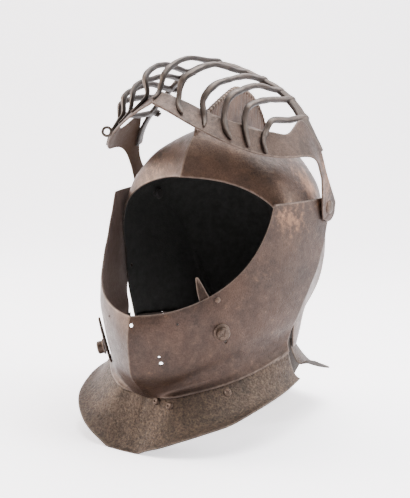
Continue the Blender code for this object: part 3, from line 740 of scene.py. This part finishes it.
def fine(profile, length=0.00035):
    """A profile with its corners rounded and its rows closer together."""
    profile = np.asarray(profile, float)
    run = distances(profile)
    places = np.arange(0, run[-1] + length, length).clip(max=run[-1])
    rows = np.stack([np.interp(places, run, profile[:, 0]), np.interp(places, run, profile[:, 1])], -1)
    rows[1:-1] = (rows[:-2] + 2 * rows[1:-1] + rows[2:]) / 4
    return rows


# The helmet's forms


def neck_point(angle):
    """Point of the neck edge at an angle from the front, in degrees."""
    turn = np.radians(angle)
    power = 2 / NECK_POWER
    x = NECK_HALF_WIDTH * np.abs(np.sin(turn)) ** power
    y = NECK_Y + NECK_DEPTH * np.abs(np.cos(turn)) ** power
    return np.stack([x, y, np.full_like(x, NECK_Z)], -1)


def skull_half(hoop, down):
    """Hoops of the skull: a quarter of an oval from crest to side, then an eased line to the neck."""
    row = spline(np.arange(len(HOOPS)), HOOPS, hoop)[:, None]
    down = np.asarray(down, float)[None, :, None]
    zero = np.zeros_like(row[..., :1])
    ridge = np.concatenate([zero, row[..., 7:9]], -1)
    crest = np.concatenate([zero, row[..., 0:2]], -1) - ridge
    side = row[..., 2:5]
    middle = side * [0, 1, 1]
    foot = neck_point(row[:, 0, 5])[:, None]
    turn = np.clip(down / SIDE_SHARE, 0, 1) * np.pi / 2
    rise = np.abs(np.cos(turn)) ** row[..., 6:7]
    upper = middle + (crest - middle) * rise + (side - middle) * np.sin(turn)
    upper = upper + ridge * np.exp(-upper[..., :1] / RIDGE_REACH)
    fall = np.clip((down - SIDE_SHARE) / (1 - SIDE_SHARE), 0, 1)
    lower = side + (foot - side) * np.concatenate([fall**1.7, fall**1.7, fall], -1)
    return np.where(down <= SIDE_SHARE, upper, lower)


def bevor_point(angle, height):
    """Point of the bevor's outer face: an oval section with a keel that fades away from the midline."""
    turn = np.radians(angle)
    sections = np.asarray(BEVOR_SECTIONS)
    half_width, depth, keel = np.moveaxis(spline(sections[:, 0], sections[:, 1:], height), -1, 0)
    x = half_width * np.sin(turn)
    y = -depth * np.cos(turn) - keel * np.exp(-np.abs(x) / KEEL_REACH)
    return np.stack([x, y, height + 0 * x], -1)


def bevor_outward(angle, height):
    """Unit normal of the bevor at one angle and height."""
    near = np.array([[-0.5, 0.5], [-0.5, 0.5]])
    grid = bevor_point(angle + near.T, height + near * 0.002)
    return normals(grid)[0, 0]


def bevor_half(across, up):
    """Half of the bevor, from keel to rear edge and from seam to rim, blended from its four edges."""
    across = np.asarray(across, float)
    up = np.asarray(up, float)
    rim = along(BEVOR_RIM, np.clip(across / RIM_SHARE, 0, 1))
    lobe = along(BEVOR_TOP, np.clip((across - RIM_SHARE) / (1 - RIM_SHARE), 0, 1))
    top = np.where((across <= RIM_SHARE)[:, None], rim, lobe)[:, None]
    seam = along(BEVOR_SEAM, across)[:, None]
    keel = np.stack([0 * up, BEVOR_SEAM[0][1] + (BEVOR_RIM[0][1] - BEVOR_SEAM[0][1]) * up], -1)[None]
    rear = along(BEVOR_REAR, up)[None]
    u = across[:, None, None]
    v = up[None, :, None]
    first = (1 - v) * seam[0, 0] + v * top[0, 0]
    last = (1 - v) * seam[-1, 0] + v * top[-1, 0]
    flat = (1 - v) * seam + v * top + (1 - u) * keel + u * rear - ((1 - u) * first + u * last)
    grid = bevor_point(flat[..., 0], flat[..., 1])
    turn = np.radians(flat[..., 0])
    beside_keel = smooth_step(*FLANGE_START, across)[:, None]
    lift = FLANGE * np.clip(1 - up / FLANGE_SHARE, 0, 1) ** 2 * beside_keel
    tuck = FLANGE_TUCK * np.exp(-(((up - TUCK_PLACE) / TUCK_WIDTH) ** 2)) * beside_keel
    return grid + (lift - tuck)[..., None] * np.stack([np.sin(turn), -np.cos(turn), 0 * turn], -1)


def with_slope(strip, rim, sag, down):
    """A strip of plate and the sagging slope from its lower edge to the rim."""
    down = np.asarray(down, float)[None, :, None]
    slope = strip[:, -1:] * (1 - down) + rim * down - sag * np.sin(np.pi * down) * [0, 0, 1]
    return np.concatenate([strip, slope], 1)


def front_gorget_half(across, down):
    """Half of the front gorget, which starts with a strip inside the bevor's foot."""
    foot = bevor_half(across, np.linspace(FLANGE_SHARE, 0, 6))
    strip = foot + normals(foot) * (BEVOR_WALL + 1.6 * GAP)
    strip[0, :, 0] = 0
    return with_slope(strip, along(FRONT_RIM, across)[:, None], FRONT_SAG, down)


def rear_gorget_half(across, down):
    """Half of the rear gorget, which starts with an upright strip inside the skull's neck edge."""
    angle = REAR_ANGLES[0] + (REAR_ANGLES[1] - REAR_ANGLES[0]) * across
    neck = neck_point(angle)
    ahead = neck_point(np.minimum(angle + 0.5, 180)) - neck_point(angle - 0.5)
    outward = unit(np.stack([ahead[:, 1], -ahead[:, 0], 0 * angle], -1))
    inner = (neck - outward * (SKULL_WALL + 2.5 * GAP))[:, None]
    inner[-1, :, 0] = 0
    strip = inner + np.linspace(REAR_HIDDEN, 0, 5)[None, :, None] * [0, 0, 1] - [0, 0, 2 * GAP]
    return with_slope(strip, along(REAR_RIM, across)[:, None], REAR_SAG, down)


def visor_half(stations, across):
    """Half of the visor's band and arm, ruled from edge to edge, its end rounded about the hinge axis."""
    lean = np.radians(ARM_LEAN)
    onward = np.array([np.sin(lean), -np.cos(lean)])
    sideways = np.array([np.cos(lean), np.sin(lean)])
    turn = np.radians(LOBE_TURNS)[:, None]
    front = LOBE_RADIUS * (np.sin(turn) * onward - np.cos(turn) * sideways) + [0, HINGE_Z]
    rear = LOBE_RADIUS * (np.sin(turn) * onward + np.cos(turn) * sideways) + [0, HINGE_Z]
    flat = np.full((len(LOBE_TURNS), 1), LOBE_OUTER)
    table = np.concatenate([VISOR_BAND, np.concatenate([flat, front, flat, rear], 1)])
    row = along(table, stations)[:, None]
    across = np.asarray(across, float)[None, :, None]
    return row[..., :3] * (1 - across) + row[..., 3:] * across


def comb_grid(stations, sides):
    """The comb's sections: each goes up one side, round a roped bead and down the other side.

    The bead's radius swells and shrinks with (distance along / pitch + turn round the bead), which
    twists it like a rope. Fine lines sink into the sides where cos(distance / line pitch) peaks.
    """
    row = along(COMB, stations)
    hoop = spline(np.arange(len(HOOPS)), HOOPS, row[:, 0])
    crest = hoop[:, :2]
    run = unit(np.gradient(crest, axis=0))
    root = crest - COMB_ROOT * np.stack([-run[:, 1], run[:, 0]], -1)
    top = row[:, 1:]
    rise = top - root
    height = np.linalg.norm(rise, axis=-1)[:, None]
    rise = unit(rise)
    distance = distances(top)[:, None]
    bead_turn = np.radians(np.linspace(-50, 230, 25))[None]
    share = np.linspace(0, 1, sides)[None, :-1]
    face_height = share * np.maximum(height - 1.77 * ROPE_RADIUS, 0.0004)
    wander = distance + COMB_LINE_WANDER * np.sin(distance * 400)
    line = np.clip(np.cos(2 * np.pi * wander / COMB_LINE_PITCH), 0.55, 1) - 0.55
    face_half = COMB_FOOT_HALF + (COMB_NECK_HALF - COMB_FOOT_HALF) * share
    face_half = face_half - COMB_LINE_DEPTH * line * smooth_step(0.1, 0.3, share)
    twist = 2 * np.pi * distance / ROPE_PITCH + 1.2 * bead_turn
    swell = ROPE_RADIUS * (1 + ROPE_SWELL * np.sin(twist)) * smooth_step(0, 0.010, distance)
    bead_side = swell * np.cos(bead_turn)
    bead_height = np.maximum(height - ROPE_RADIUS, 0.0006) + swell * np.sin(bead_turn)
    side = np.concatenate([face_half, bead_side, -face_half[:, ::-1]], 1)
    level = np.concatenate([face_height, bead_height, face_height[:, ::-1]], 1)
    flat = root[:, None] + rise[:, None] * level[..., None]
    return np.concatenate([side[..., None], flat], -1)


def strap_grid(along_count, across_count):
    """The catch strap over the bevor: pointed at its ends, and standing off more towards its top."""
    height = np.linspace(*STRAP_ENDS, along_count)[None, :]
    share = (height - STRAP_ENDS[0]) / (STRAP_ENDS[1] - STRAP_ENDS[0])
    width = STRAP_WIDTH * (0.30 + 0.70 * np.sin(np.pi * share) ** 0.6)
    side = np.linspace(-0.5, 0.5, across_count)[:, None]
    radius = BEVOR_SECTIONS[4][1]
    grid = bevor_point(STRAP_ANGLE + np.degrees(side * width / radius), height + 0 * side)
    lift = 4 * GAP + STRAP_WALL + STRAP_LIFT * share
    return grid + normals(grid) * lift[..., None]


def spike_grid(along_count, across_count):
    """The face spike's outer face: a strip that narrows along its line, with a low ridge down it."""
    angle, height, depth, half_width = along(SPIKE_LINE, np.linspace(0, 1, along_count)).T
    outward = np.array([bevor_outward(*at) for at in zip(angle, height)])
    middle = bevor_point(angle, height) - outward * depth[:, None]
    turn = np.radians(angle)
    wide = np.stack([np.cos(turn), np.sin(turn), 0 * turn], -1) * half_width[:, None]
    side = np.linspace(-1, 1, across_count)[:, None, None]
    ridge = outward * 0.0006 * (1 - np.abs(side))
    return middle + wide * side + ridge


# Materials

NOISE, MIX, MATH, RANGE = "ShaderNodeTexNoise", "ShaderNodeMix", "ShaderNodeMath", "ShaderNodeMapRange"
COLOURS, SUM = {"data_type": "RGBA"}, {"operation": "MULTIPLY_ADD"}

# Share of bare metal in the skin, the colour of rubbed metal, and how far grain is drawn out along a bar
BARE_SHARE = 0.62
RUBBED_METAL = "#7d6e63"
STREAK = 0.16


def linear(colour):
    """Linear red, green and blue of an sRGB hex colour."""
    parts = np.array([int(colour[i : i + 2], 16) for i in (1, 3, 5)]) / 255
    return (*np.where(parts <= 0.04045, parts / 12.92, ((parts + 0.055) / 1.055) ** 2.4), 1)


def add(tree, kind, settings, inputs, output=0):
    """An output of a new node with its settings. Each input takes a value or another node's output."""
    made = tree.nodes.new(kind)
    for key, value in settings.items():
        setattr(made, key, value)
    for key, value in inputs.items():
        if isinstance(value, bpy.types.NodeSocket):
            tree.links.new(value, made.inputs[key])
        else:
            made.inputs[key].default_value = value
    return made.outputs[output]


def wrought_iron(name, skin, shade, light, rust, inner, speck_mm, patch_mm, rough, pits=0.5, follow=False):
    """Old wrought iron under a brown oxide skin.

    Broad patches of skin and shade, mottling a fifth as wide and grit as wide as speck_mm make its colour.
    The marks on the points add rubbed metal, rust and the inner colour, which is painted shade where it is
    near black. Grit and pits stand in the bump.
    """
    made = bpy.data.materials.new(name)
    made.use_nodes = True
    tree = made.node_tree
    shader = tree.nodes["Principled BSDF"]
    where = add(tree, "ShaderNodeTexCoord", {}, {}, "Object")
    if follow:
        where = add(tree, "ShaderNodeAttribute", {"attribute_name": "run"}, {}, "Vector")
        where = add(tree, "ShaderNodeMapping", {}, {"Vector": where, "Scale": (STREAK, 1, 1)})
    worn, inside, rusty = (
        add(tree, "ShaderNodeAttribute", {"attribute_name": mark}, {}, "Fac")
        for mark in ("worn", "inside", "rust")
    )
    grains = ((patch_mm, 6.0, 0.62), (patch_mm / 5, 5.0, 0.70), (speck_mm, 3.0, 0.60))
    patch, mottle, grit = (
        add(tree, NOISE, {}, {"Vector": where, "Scale": 1000 / wide, "Detail": detail, "Roughness": coarse})
        for wide, detail, coarse in grains
    )
    pit = {"Vector": where, "Scale": 1000 / (2.4 * speck_mm)}
    pit = add(tree, "ShaderNodeTexVoronoi", {}, pit, "Distance")

    # Colour: patches, lighter mottling and dark grit
    broad = add(tree, RANGE, {}, {"Value": patch, "From Min": 0.36, "From Max": 0.64})
    small = add(tree, RANGE, {}, {"Value": mottle, "From Min": 0.42, "From Max": 0.72, "To Max": 0.4})
    dark = {"Value": grit, "From Min": 0.30, "From Max": 0.58, "To Min": 0.75 - 0.5 * pits}
    dark = add(tree, RANGE, {}, dark)
    base = add(tree, MIX, COLOURS, {0: broad, 6: linear(shade), 7: linear(skin)}, 2)
    base = add(tree, MIX, COLOURS, {0: small, 6: base, 7: linear(light)}, 2)
    base = add(tree, MIX, COLOURS | {"blend_type": "MULTIPLY"}, {0: 1.0, 6: base, 7: dark}, 2)

    # Over it rust where its mark and the mottling meet, rubbed metal on the ridges, and the inner colour,
    # near black as painted shade in the skull and pivot tails
    spread = add(tree, MATH, SUM, {0: mottle, 1: 1.6, 2: -0.72})
    stain = add(tree, MATH, SUM, {0: rusty, 1: 0.8, 2: spread})
    stain = {"Value": stain, "From Min": 0.22, "From Max": 1.25, "To Max": 0.85}
    stain = add(tree, RANGE, {"interpolation_type": "SMOOTHSTEP"}, stain)
    rubbed = add(tree, MATH, {"operation": "MULTIPLY"}, {0: worn, 1: mottle})
    rubbed = add(tree, RANGE, {}, {"Value": rubbed, "From Min": 0.14, "From Max": 0.66, "To Max": 0.6})
    for cover, colour in ((stain, rust), (rubbed, RUBBED_METAL), (inside, inner)):
        base = add(tree, MIX, COLOURS, {0: cover, 6: base, 7: linear(colour)}, 2)
    tree.links.new(base, shader.inputs["Base Color"])

    # Gloss: uneven outside and dull inside, and rust is no bare metal
    shine = {"From Min": 0.3, "From Max": 0.7, "To Min": rough + 0.09, "To Max": rough - 0.09}
    shine = add(tree, RANGE, {}, shine | {"Value": mottle})
    tree.links.new(add(tree, MATH, SUM, {0: inside, 1: 0.4, 2: shine}), shader.inputs["Roughness"])
    bare = add(tree, MATH, {"operation": "SUBTRACT"}, {0: BARE_SHARE, 1: stain})
    bare = add(tree, MATH, {"operation": "SUBTRACT", "use_clamp": True}, {0: bare, 1: inside})
    tree.links.new(bare, shader.inputs["Metallic"])

    # Relief: pits, grit and mottling
    hollow = add(tree, RANGE, {}, {"Value": pit, "From Min": 0.05, "From Max": 0.40})
    height = add(tree, MATH, SUM, {0: hollow, 1: 0.5, 2: grit})
    height = add(tree, MATH, SUM, {0: mottle, 1: 1.4, 2: height})
    bump = add(tree, "ShaderNodeBump", {}, {"Strength": pits, "Distance": 0.0004, "Height": height})
    tree.links.new(bump, shader.inputs["Normal"])
    return made


# Sheet iron hammered to shape and browned: a satin brown skin with rubbed ridges and orange rust
BROWNED_SHEET = wrought_iron(
    "hammered_browned_sheet_iron",
    skin="#3a281e", shade="#291c15", light="#4a382c", rust="#8c5a2c", inner="#3c2b22",
    speck_mm=1.2, patch_mm=34, rough=0.46,
)
# The same sheet with its inner face painted near black: painted shade for the hollow of the skull, which
# lies in shadow
SKULL_SHEET = wrought_iron(
    "hammered_sheet_iron_sooted_inside",
    skin="#4b372b", shade="#2f231c", light="#5c473a", rust="#8c5a2c", inner="#0c0d0a",
    speck_mm=1.2, patch_mm=34, rough=0.48,
)
# The same sheet rusted on its inner face: the raised visor shows a dry brown underside
VISOR_SHEET = wrought_iron(
    "hammered_sheet_iron_rusted_inside",
    skin="#3e2e25", shade="#281d16", light="#523e32", rust="#80532e", inner="#3a2719",
    speck_mm=1.2, patch_mm=20, rough=0.50,
)
# Sheet iron left bare and pitted by damp: an olive-brown skin full of grit, with little gloss
PITTED_SHEET = wrought_iron(
    "pitted_sheet_iron",
    skin="#43342a", shade="#2c221b", light="#63523e", rust="#77553a", inner="#2c2621",
    speck_mm=1.7, patch_mm=16, rough=0.60, pits=1.0,
)
# Iron drawn out under the hammer: dark streaks follow each bar, and its back is rubbed to grey metal
DRAWN_BAR = wrought_iron(
    "hammer_drawn_iron_bar",
    skin="#261b14", shade="#130d09", light="#3c2c22", rust="#7a563e", inner="#14110f",
    speck_mm=1.1, patch_mm=9, rough=0.50, pits=0.8, follow=True,
)
# Iron filed and punched cold: small heads, lighter than the bars. Its near-black inner colour is painted
# shade on the pivot tails inside the helmet
FILED_IRON = wrought_iron(
    "filed_iron_rivet",
    skin="#4c3b30", shade="#32261e", light="#625043", rust="#7a563e", inner="#14110f",
    speck_mm=1.0, patch_mm=8, rough=0.48,
)


# The pieces


def finish(made, body, material, replaced=()):
    made.data.materials.append(material)
    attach(made, body)
    if replaced:
        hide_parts(*replaced)
    return made


def cut(made, holes):
    """Takes small round holes out of a plate: a point, an axis, a radius and a depth for each."""
    cutters = bpy.data.collections.new(made.name + "_cutters")
    bpy.context.scene.collection.children.link(cutters)
    for number, (centre, axis, radius, depth) in enumerate(holes):
        profile = ((radius, -depth / 2), (radius, depth / 2))
        cutter = turned(f"{made.name}_cutter_{number}", profile, np.asarray(centre), axis, around=20)
        bpy.context.scene.collection.objects.unlink(cutter)
        cutters.objects.link(cutter)
    change = made.modifiers.new("holes", "BOOLEAN")
    change.operation = "DIFFERENCE"
    change.operand_type = "COLLECTION"
    change.collection = cutters
    change.solver = "MANIFOLD"
    graph = bpy.context.evaluated_depsgraph_get()
    cut_through = made.evaluated_get(graph)
    mesh = bpy.data.meshes.new_from_object(cut_through, preserve_all_data_layers=True, depsgraph=graph)
    made.modifiers.clear()
    mesh.materials.clear()
    made.data = mesh
    for cutter in list(cutters.objects):
        bpy.data.objects.remove(cutter)
    bpy.data.collections.remove(cutters)


def make_skull():
    hoops = steps(0, (6, 112), (len(HOOPS) - 1, 70))
    down = steps(0, (0.05, 9), (SIDE_SHARE, 60), (1, 34))
    outer = both_sides(skull_half(hoops, down), 1)[::-1]
    skull = shell("skull_bowl", outer, SKULL_WALL)
    cut(skull, nape_holes())
    finish(skull, "skull", SKULL_SHEET, ["skull"])
    grid = comb_grid(np.linspace(0, 1, 300), 26)
    rows, columns = grid.shape[:2]
    index = numbered(rows, columns)
    after = np.roll(index, -1, axis=1)
    faces = np.stack([index[:-1], index[1:], after[1:], after[:-1]], -1).reshape(-1, 4)
    wear = smooth_step(0.02, 0.30, high_spots(grid, normals(grid), COMB_WEAR)).ravel()
    points = grid.reshape(-1, 3)
    ends = [index[0].tolist(), index[-1, ::-1].tolist()]
    comb = piece("comb", points, faces.tolist() + ends, wear, np.zeros(len(points)), points)
    finish(comb, "skull", SKULL_SHEET)


def make_bevor():
    across = steps(0, (0.04, 8), (RIM_SHARE, 76), (1, 44))
    up = steps(0, (FLANGE_SHARE, 9), (1, 84))
    bevor = shell("bevor_plate", both_sides(bevor_half(across, up), 0), BEVOR_WALL)
    holes = []
    for x, z, radius in BEVOR_HOLES:
        half_width = np.interp(z, *np.asarray(BEVOR_SECTIONS)[:, :2].T)
        angle = float(np.degrees(np.arcsin(x / half_width)))
        holes.append((bevor_point(angle, z), bevor_outward(angle, z), radius, 0.012))
    cut(bevor, holes)
    finish(bevor, "bevor", BROWNED_SHEET, ["bevor"])


def make_gorgets():
    across = np.linspace(0, 1, 90)
    down = np.linspace(0, 1, 44)[1:]
    front = both_sides(front_gorget_half(across, down), 0)[::-1]
    rear = both_sides(rear_gorget_half(across, down)[::-1], 0)
    for name, grid, body, node in (
        ("front_gorget_plate", front, "bevor", "front_gorget"),
        ("rear_gorget_plate", rear, "skull", "rear_gorget"),
    ):
        grid[..., 2] = np.maximum(grid[..., 2], GORGET_WALL * 0.6)
        made = shell(name, grid, GORGET_WALL)
        if node == "rear_gorget":
            cut(made, nape_holes())
        finish(made, body, PITTED_SHEET, [node])
    return front


def nape_holes():
    return [((x, y, z), (x, y - NECK_Y, 0), radius, 0.014) for x, y, z, radius in SKULL_HOLES]


def bar_line(points, count, band=None):
    """The middle line of a bar and the way its flat side faces, which is away from the helmet's middle.

    A bar that is given the band lies on it with its foot and ends in a hook.
    """
    points = np.array(points, float)
    centre = np.array(BAR_CENTRE)
    if band is not None:
        on_band, facing = nearest_on(band, points[:2])
        points[:2] = on_band + facing * BAR_LIFT
        out = unit(points[-1] - centre)
        drops = [points[-1] + [0, back, 0] - out * down for back, down in HOOK_DROP]
        points = np.concatenate([points, drops])
    run = distances(points)
    share = np.linspace(0, 1, count)
    line = spline(run / run[-1], points, share)
    up = unit(line - centre)
    if band is not None:
        lay = smooth_step(*BAR_LEAVES, share)[:, None]
        up = unit(facing[0] * (1 - lay) + up * lay)
    return line, up, share


def section_at(table, share):
    """Half width and half thickness of a bar at each share of its length."""
    places, half_width, half_thickness = np.transpose(table)
    return np.stack([np.interp(share, places, half_width), np.interp(share, places, half_thickness)], -1)


def make_visor():
    band = both_sides(visor_half(np.linspace(0, 1, 190), np.linspace(0, 1, 26)), 0)
    plate = shell("visor_band", band, VISOR_WALL, BAND_DENTS)
    finish(plate, "visor", VISOR_SHEET, ["visor"])
    bars = {}
    for name, side in (("left", 1), ("right", -1)):
        for number, points in enumerate(BARS, 1):
            line = bar_line(np.asarray(points) * [side, 1, 1], 110, band)
            bars[f"visor_bar_{name}_{number}"] = (line, BAR_SECTION)
    bars["visor_bar_middle"] = (bar_line(MEDIAN_BAR, 110, band), BAR_SECTION)
    bars["brow_bar"] = (bar_line(both_sides(np.asarray(BROW_BAR), 0), 200), BROW_SECTION)
    for name, ((line, up, share), section) in bars.items():
        finish(swept(name, line, up, section_at(section, share)), "visor", DRAWN_BAR)
    make_ring()


def make_ring():
    """The lifting ring, a wire bent round its axis, and the staple that holds it to the band.

    Point of the ring = centre + radius x (side x cos(a) + over x sin(a)).
    """
    centre, foot = np.array(RING_CENTRE), np.array(RING_FOOT)
    side, over, axis = directions_round(RING_AXIS)
    turn = np.linspace(0, 2 * np.pi, 40, endpoint=False)[:, None]
    ring = centre + RING_RADIUS * (side * np.cos(turn) + over * np.sin(turn))
    reach = unit(centre - foot)
    length = np.linalg.norm(centre - foot) - RING_RADIUS + RING_SINK
    staple = foot - RING_SINK * reach + reach * np.linspace(0, 1, 12)[:, None] * length
    for name, line, half in (("lifting_ring", ring, RING_WIRE), ("ring_staple", staple, RING_WIRE * 1.25)):
        up = np.repeat(axis[None], len(line), 0)
        wire = np.full((len(line), 2), half)
        made = swept(name, line, up, wire, WIRE_DENTS, around=14, squareness=2, closed=line is ring)
        finish(made, "visor", DRAWN_BAR)


def make_pivots():
    """Rivets through skull, bevor and visor: a domed head, a collar and a tail hammered flat inside."""
    profile = fine(
        (
            (0.0002, TAIL_TOP - 0.0020),
            (TAIL_RADIUS * 0.7, TAIL_TOP - 0.0020),
            (TAIL_RADIUS, TAIL_TOP - 0.0012),
            (TAIL_RADIUS, TAIL_TOP),
            (SHANK_RADIUS, TAIL_TOP),
            (SHANK_RADIUS, COLLAR_START),
            (COLLAR_RADIUS, COLLAR_START),
            (COLLAR_RADIUS, COLLAR_END),
            (SHANK_RADIUS, COLLAR_END),
            (SHANK_RADIUS, LOBE_OUTER + GAP),
            (HEAD_RADIUS, LOBE_OUTER + GAP),
            (HEAD_RADIUS * 0.92, HEAD_TIP - 0.0008),
            (HEAD_RADIUS * 0.60, HEAD_TIP + 0.0002),
            (0.0002, HEAD_TIP + 0.0006),
        )
    )
    for name, side in (("pivot_left", 1), ("pivot_right", -1)):
        hinge = np.array([0, 0, HINGE_Z])
        # Shank and tail inside the collar take the near-black inner colour: painted shade for the helmet's
        # dark inside
        made = turned(name + "_rivet", profile, hinge, (side, 0, 0), inside_to=COLLAR_START)
        finish(made, "skull", FILED_IRON, [name])


def peg_cuts(side, over, level):
    """Depth of the peg head's file cuts: one upright line across it and two short ones at its left."""
    top = smooth_step(PEG_HEIGHT - 0.0016, PEG_HEIGHT - 0.0008, level)
    line = 0.0007 * np.exp(-((side / 0.00035) ** 2))
    for tilt in (0.45, -0.25):
        off = over * np.cos(tilt) - side * np.sin(tilt)
        line = line + 0.0005 * np.exp(-((off / 0.0003) ** 2)) * (side < -0.0012)
    return top * line


def make_pegs():
    profile = fine(
        (
            (0.0002, 0),
            (PEG_WASHER_RADIUS, 0),
            (PEG_WASHER_RADIUS * 0.95, 0.0012),
            (PEG_HEAD_RADIUS, 0.0014),
            (PEG_HEAD_RADIUS, PEG_HEIGHT - 0.0010),
            (PEG_HEAD_RADIUS * 0.80, PEG_HEIGHT),
            (0.0002, PEG_HEIGHT),
        )
    )
    strap_top = STRAP_WALL + 0.0024
    for name, (angle, height), lift in (("peg_left", PEG_LEFT, 0), ("peg_right", PEG_RIGHT, strap_top)):
        outward = bevor_outward(angle, height)
        centre = bevor_point(angle, height) + outward * (GAP + lift)
        made = turned(name + "_head", profile, centre, outward, around=72, carve=peg_cuts)
        finish(made, "bevor", FILED_IRON, [name])


def make_small_plates():
    strap = shell("catch_strap_leaf", strap_grid(60, 16), STRAP_WALL, STRAP_DENTS)
    spike = shell("face_spike_tongue", spike_grid(40, 13), SPIKE_WALL, SPIKE_DENTS)
    finish(strap, "bevor", BROWNED_SHEET, ["catch_strap"])
    finish(spike, "bevor", BROWNED_SHEET, ["face_spike"])


def rivet_dome(radius, height):
    """Profile of a rivet's head: a low dome on a flat foot."""
    rows = (
        (0.0002, 0),
        (radius, 0),
        (radius * 0.90, height * 0.55),
        (radius * 0.50, height),
        (0.0002, height * 1.1),
    )
    return fine(rows, 0.0002)


def make_rivets(front_gorget):
    outward = bevor_outward(*SPIKE_RIVET)
    centre = bevor_point(*SPIKE_RIVET) + outward * GAP
    made = turned("spike_rivet_head", rivet_dome(*SPIKE_HEAD), centre, outward)
    finish(made, "bevor", FILED_IRON, ["spike_rivet"])
    for name, radius, height in GORGET_RIVETS:
        low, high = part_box(name)
        middle = (np.array(low) + np.array(high)) / 2 - [0, HINGE_Y, 0]
        (centre,), (outward,) = nearest_on(front_gorget, [middle])
        centre = centre + outward * GAP
        made = turned(name + "_head", rivet_dome(radius, height), centre, outward, carve=rivet_hollow)
        finish(made, "bevor", FILED_IRON, [name])


def rivet_hollow(side, over, level):
    """Depth of the pit that rust has eaten into a gorget rivet's head, a little beside its middle."""
    return 0.7 * level * np.exp(-((side + 0.0010) ** 2 + over**2) / 0.0014**2)


# Floor, light and camera


def make_stage():
    """A pale seamless sweep: a flat floor that turns up in a quarter circle into an upright wall."""
    turn = np.linspace(0, np.pi / 2, 24)
    curve = SWEEP_FOOT + SWEEP_RADIUS * np.sin(turn)
    y = np.concatenate([[SWEEP_FRONT, SWEEP_FOOT], curve, [SWEEP_FOOT + SWEEP_RADIUS]])
    z = np.concatenate([[0, 0], SWEEP_RADIUS - SWEEP_RADIUS * np.cos(turn), [SWEEP_TOP]])
    x = np.array([-SWEEP_HALF_WIDTH, SWEEP_HALF_WIDTH])
    grid = np.stack(np.broadcast_arrays(x[:, None], y[None], z[None]), -1)
    cos, sin = np.cos(np.radians(CAMERA_TURN)), np.sin(np.radians(CAMERA_TURN))
    spin = np.array([[cos, sin, 0], [-sin, cos, 0], [0, 0, 1]])
    mesh = smooth_mesh("studio_sweep", grid.reshape(-1, 3) @ spin, grid_faces(numbered(2, len(y))).tolist())
    # Opal acrylic lit from behind: a matt white that glows softly and keeps shadows faint
    acrylic = bpy.data.materials.new("opal_acrylic_lit_from_behind")
    acrylic.use_nodes = True
    shader = acrylic.node_tree.nodes["Principled BSDF"]
    shader.inputs["Base Color"].default_value = linear("#f3f1f4")
    shader.inputs["Roughness"].default_value = 0.9
    shader.inputs["Emission Color"].default_value = linear("#f8f5f8")
    shader.inputs["Emission Strength"].default_value = SWEEP_GLOW
    mesh.materials.append(acrylic)
    sweep = placed("studio_sweep", mesh)


def pose_matrix(side, up, back, place):
    return Matrix([[side[i], up[i], back[i], place[i]] for i in range(3)] + [[0, 0, 0, 1]])


def make_lights():
    """A pale room, and square soft boxes that face the middle of the helmet."""
    world = bpy.data.worlds.new("studio")
    world.use_nodes = True
    world.node_tree.nodes["Background"].inputs["Color"].default_value = linear("#f4f2f6")
    world.node_tree.nodes["Background"].inputs["Strength"].default_value = ROOM_STRENGTH
    bpy.context.scene.world = world
    for name, place, size, watts, colour in SOFT_BOXES:
        data = bpy.data.lights.new(name, "AREA")
        data.size = size
        data.energy = watts
        data.color = linear(colour)[:3]
        back = unit(np.array(place, float) - np.array(LIGHT_TARGET, float))
        side = unit(np.cross([0, 0, 1], back))
        placed(name, data, pose_matrix(side, np.cross(back, side), back, place))


def make_camera():
    turn, rise, roll = (np.radians(given) for given in (CAMERA_TURN, CAMERA_RISE, CAMERA_ROLL))
    back = np.array([np.sin(turn) * np.cos(rise), -np.cos(turn) * np.cos(rise), np.sin(rise)])
    side = np.array([np.cos(turn), np.sin(turn), 0])
    up = np.cross(back, side)
    rolled_side = side * np.cos(roll) + up * np.sin(roll)
    rolled_up = up * np.cos(roll) - side * np.sin(roll)
    data = bpy.data.cameras.new("camera")
    data.sensor_fit = "VERTICAL"
    data.sensor_height = 36
    data.lens = LENS_MM
    stand = pose_matrix(rolled_side, rolled_up, back, CAMERA_TARGET + back * CAMERA_DISTANCE)
    bpy.context.scene.camera = placed("camera", data, stand)


make_camera()
make_stage()
make_lights()
make_skull()
make_bevor()
FRONT_GORGET = make_gorgets()
make_visor()
make_pivots()
make_pegs()
make_small_plates()
make_rivets(FRONT_GORGET)
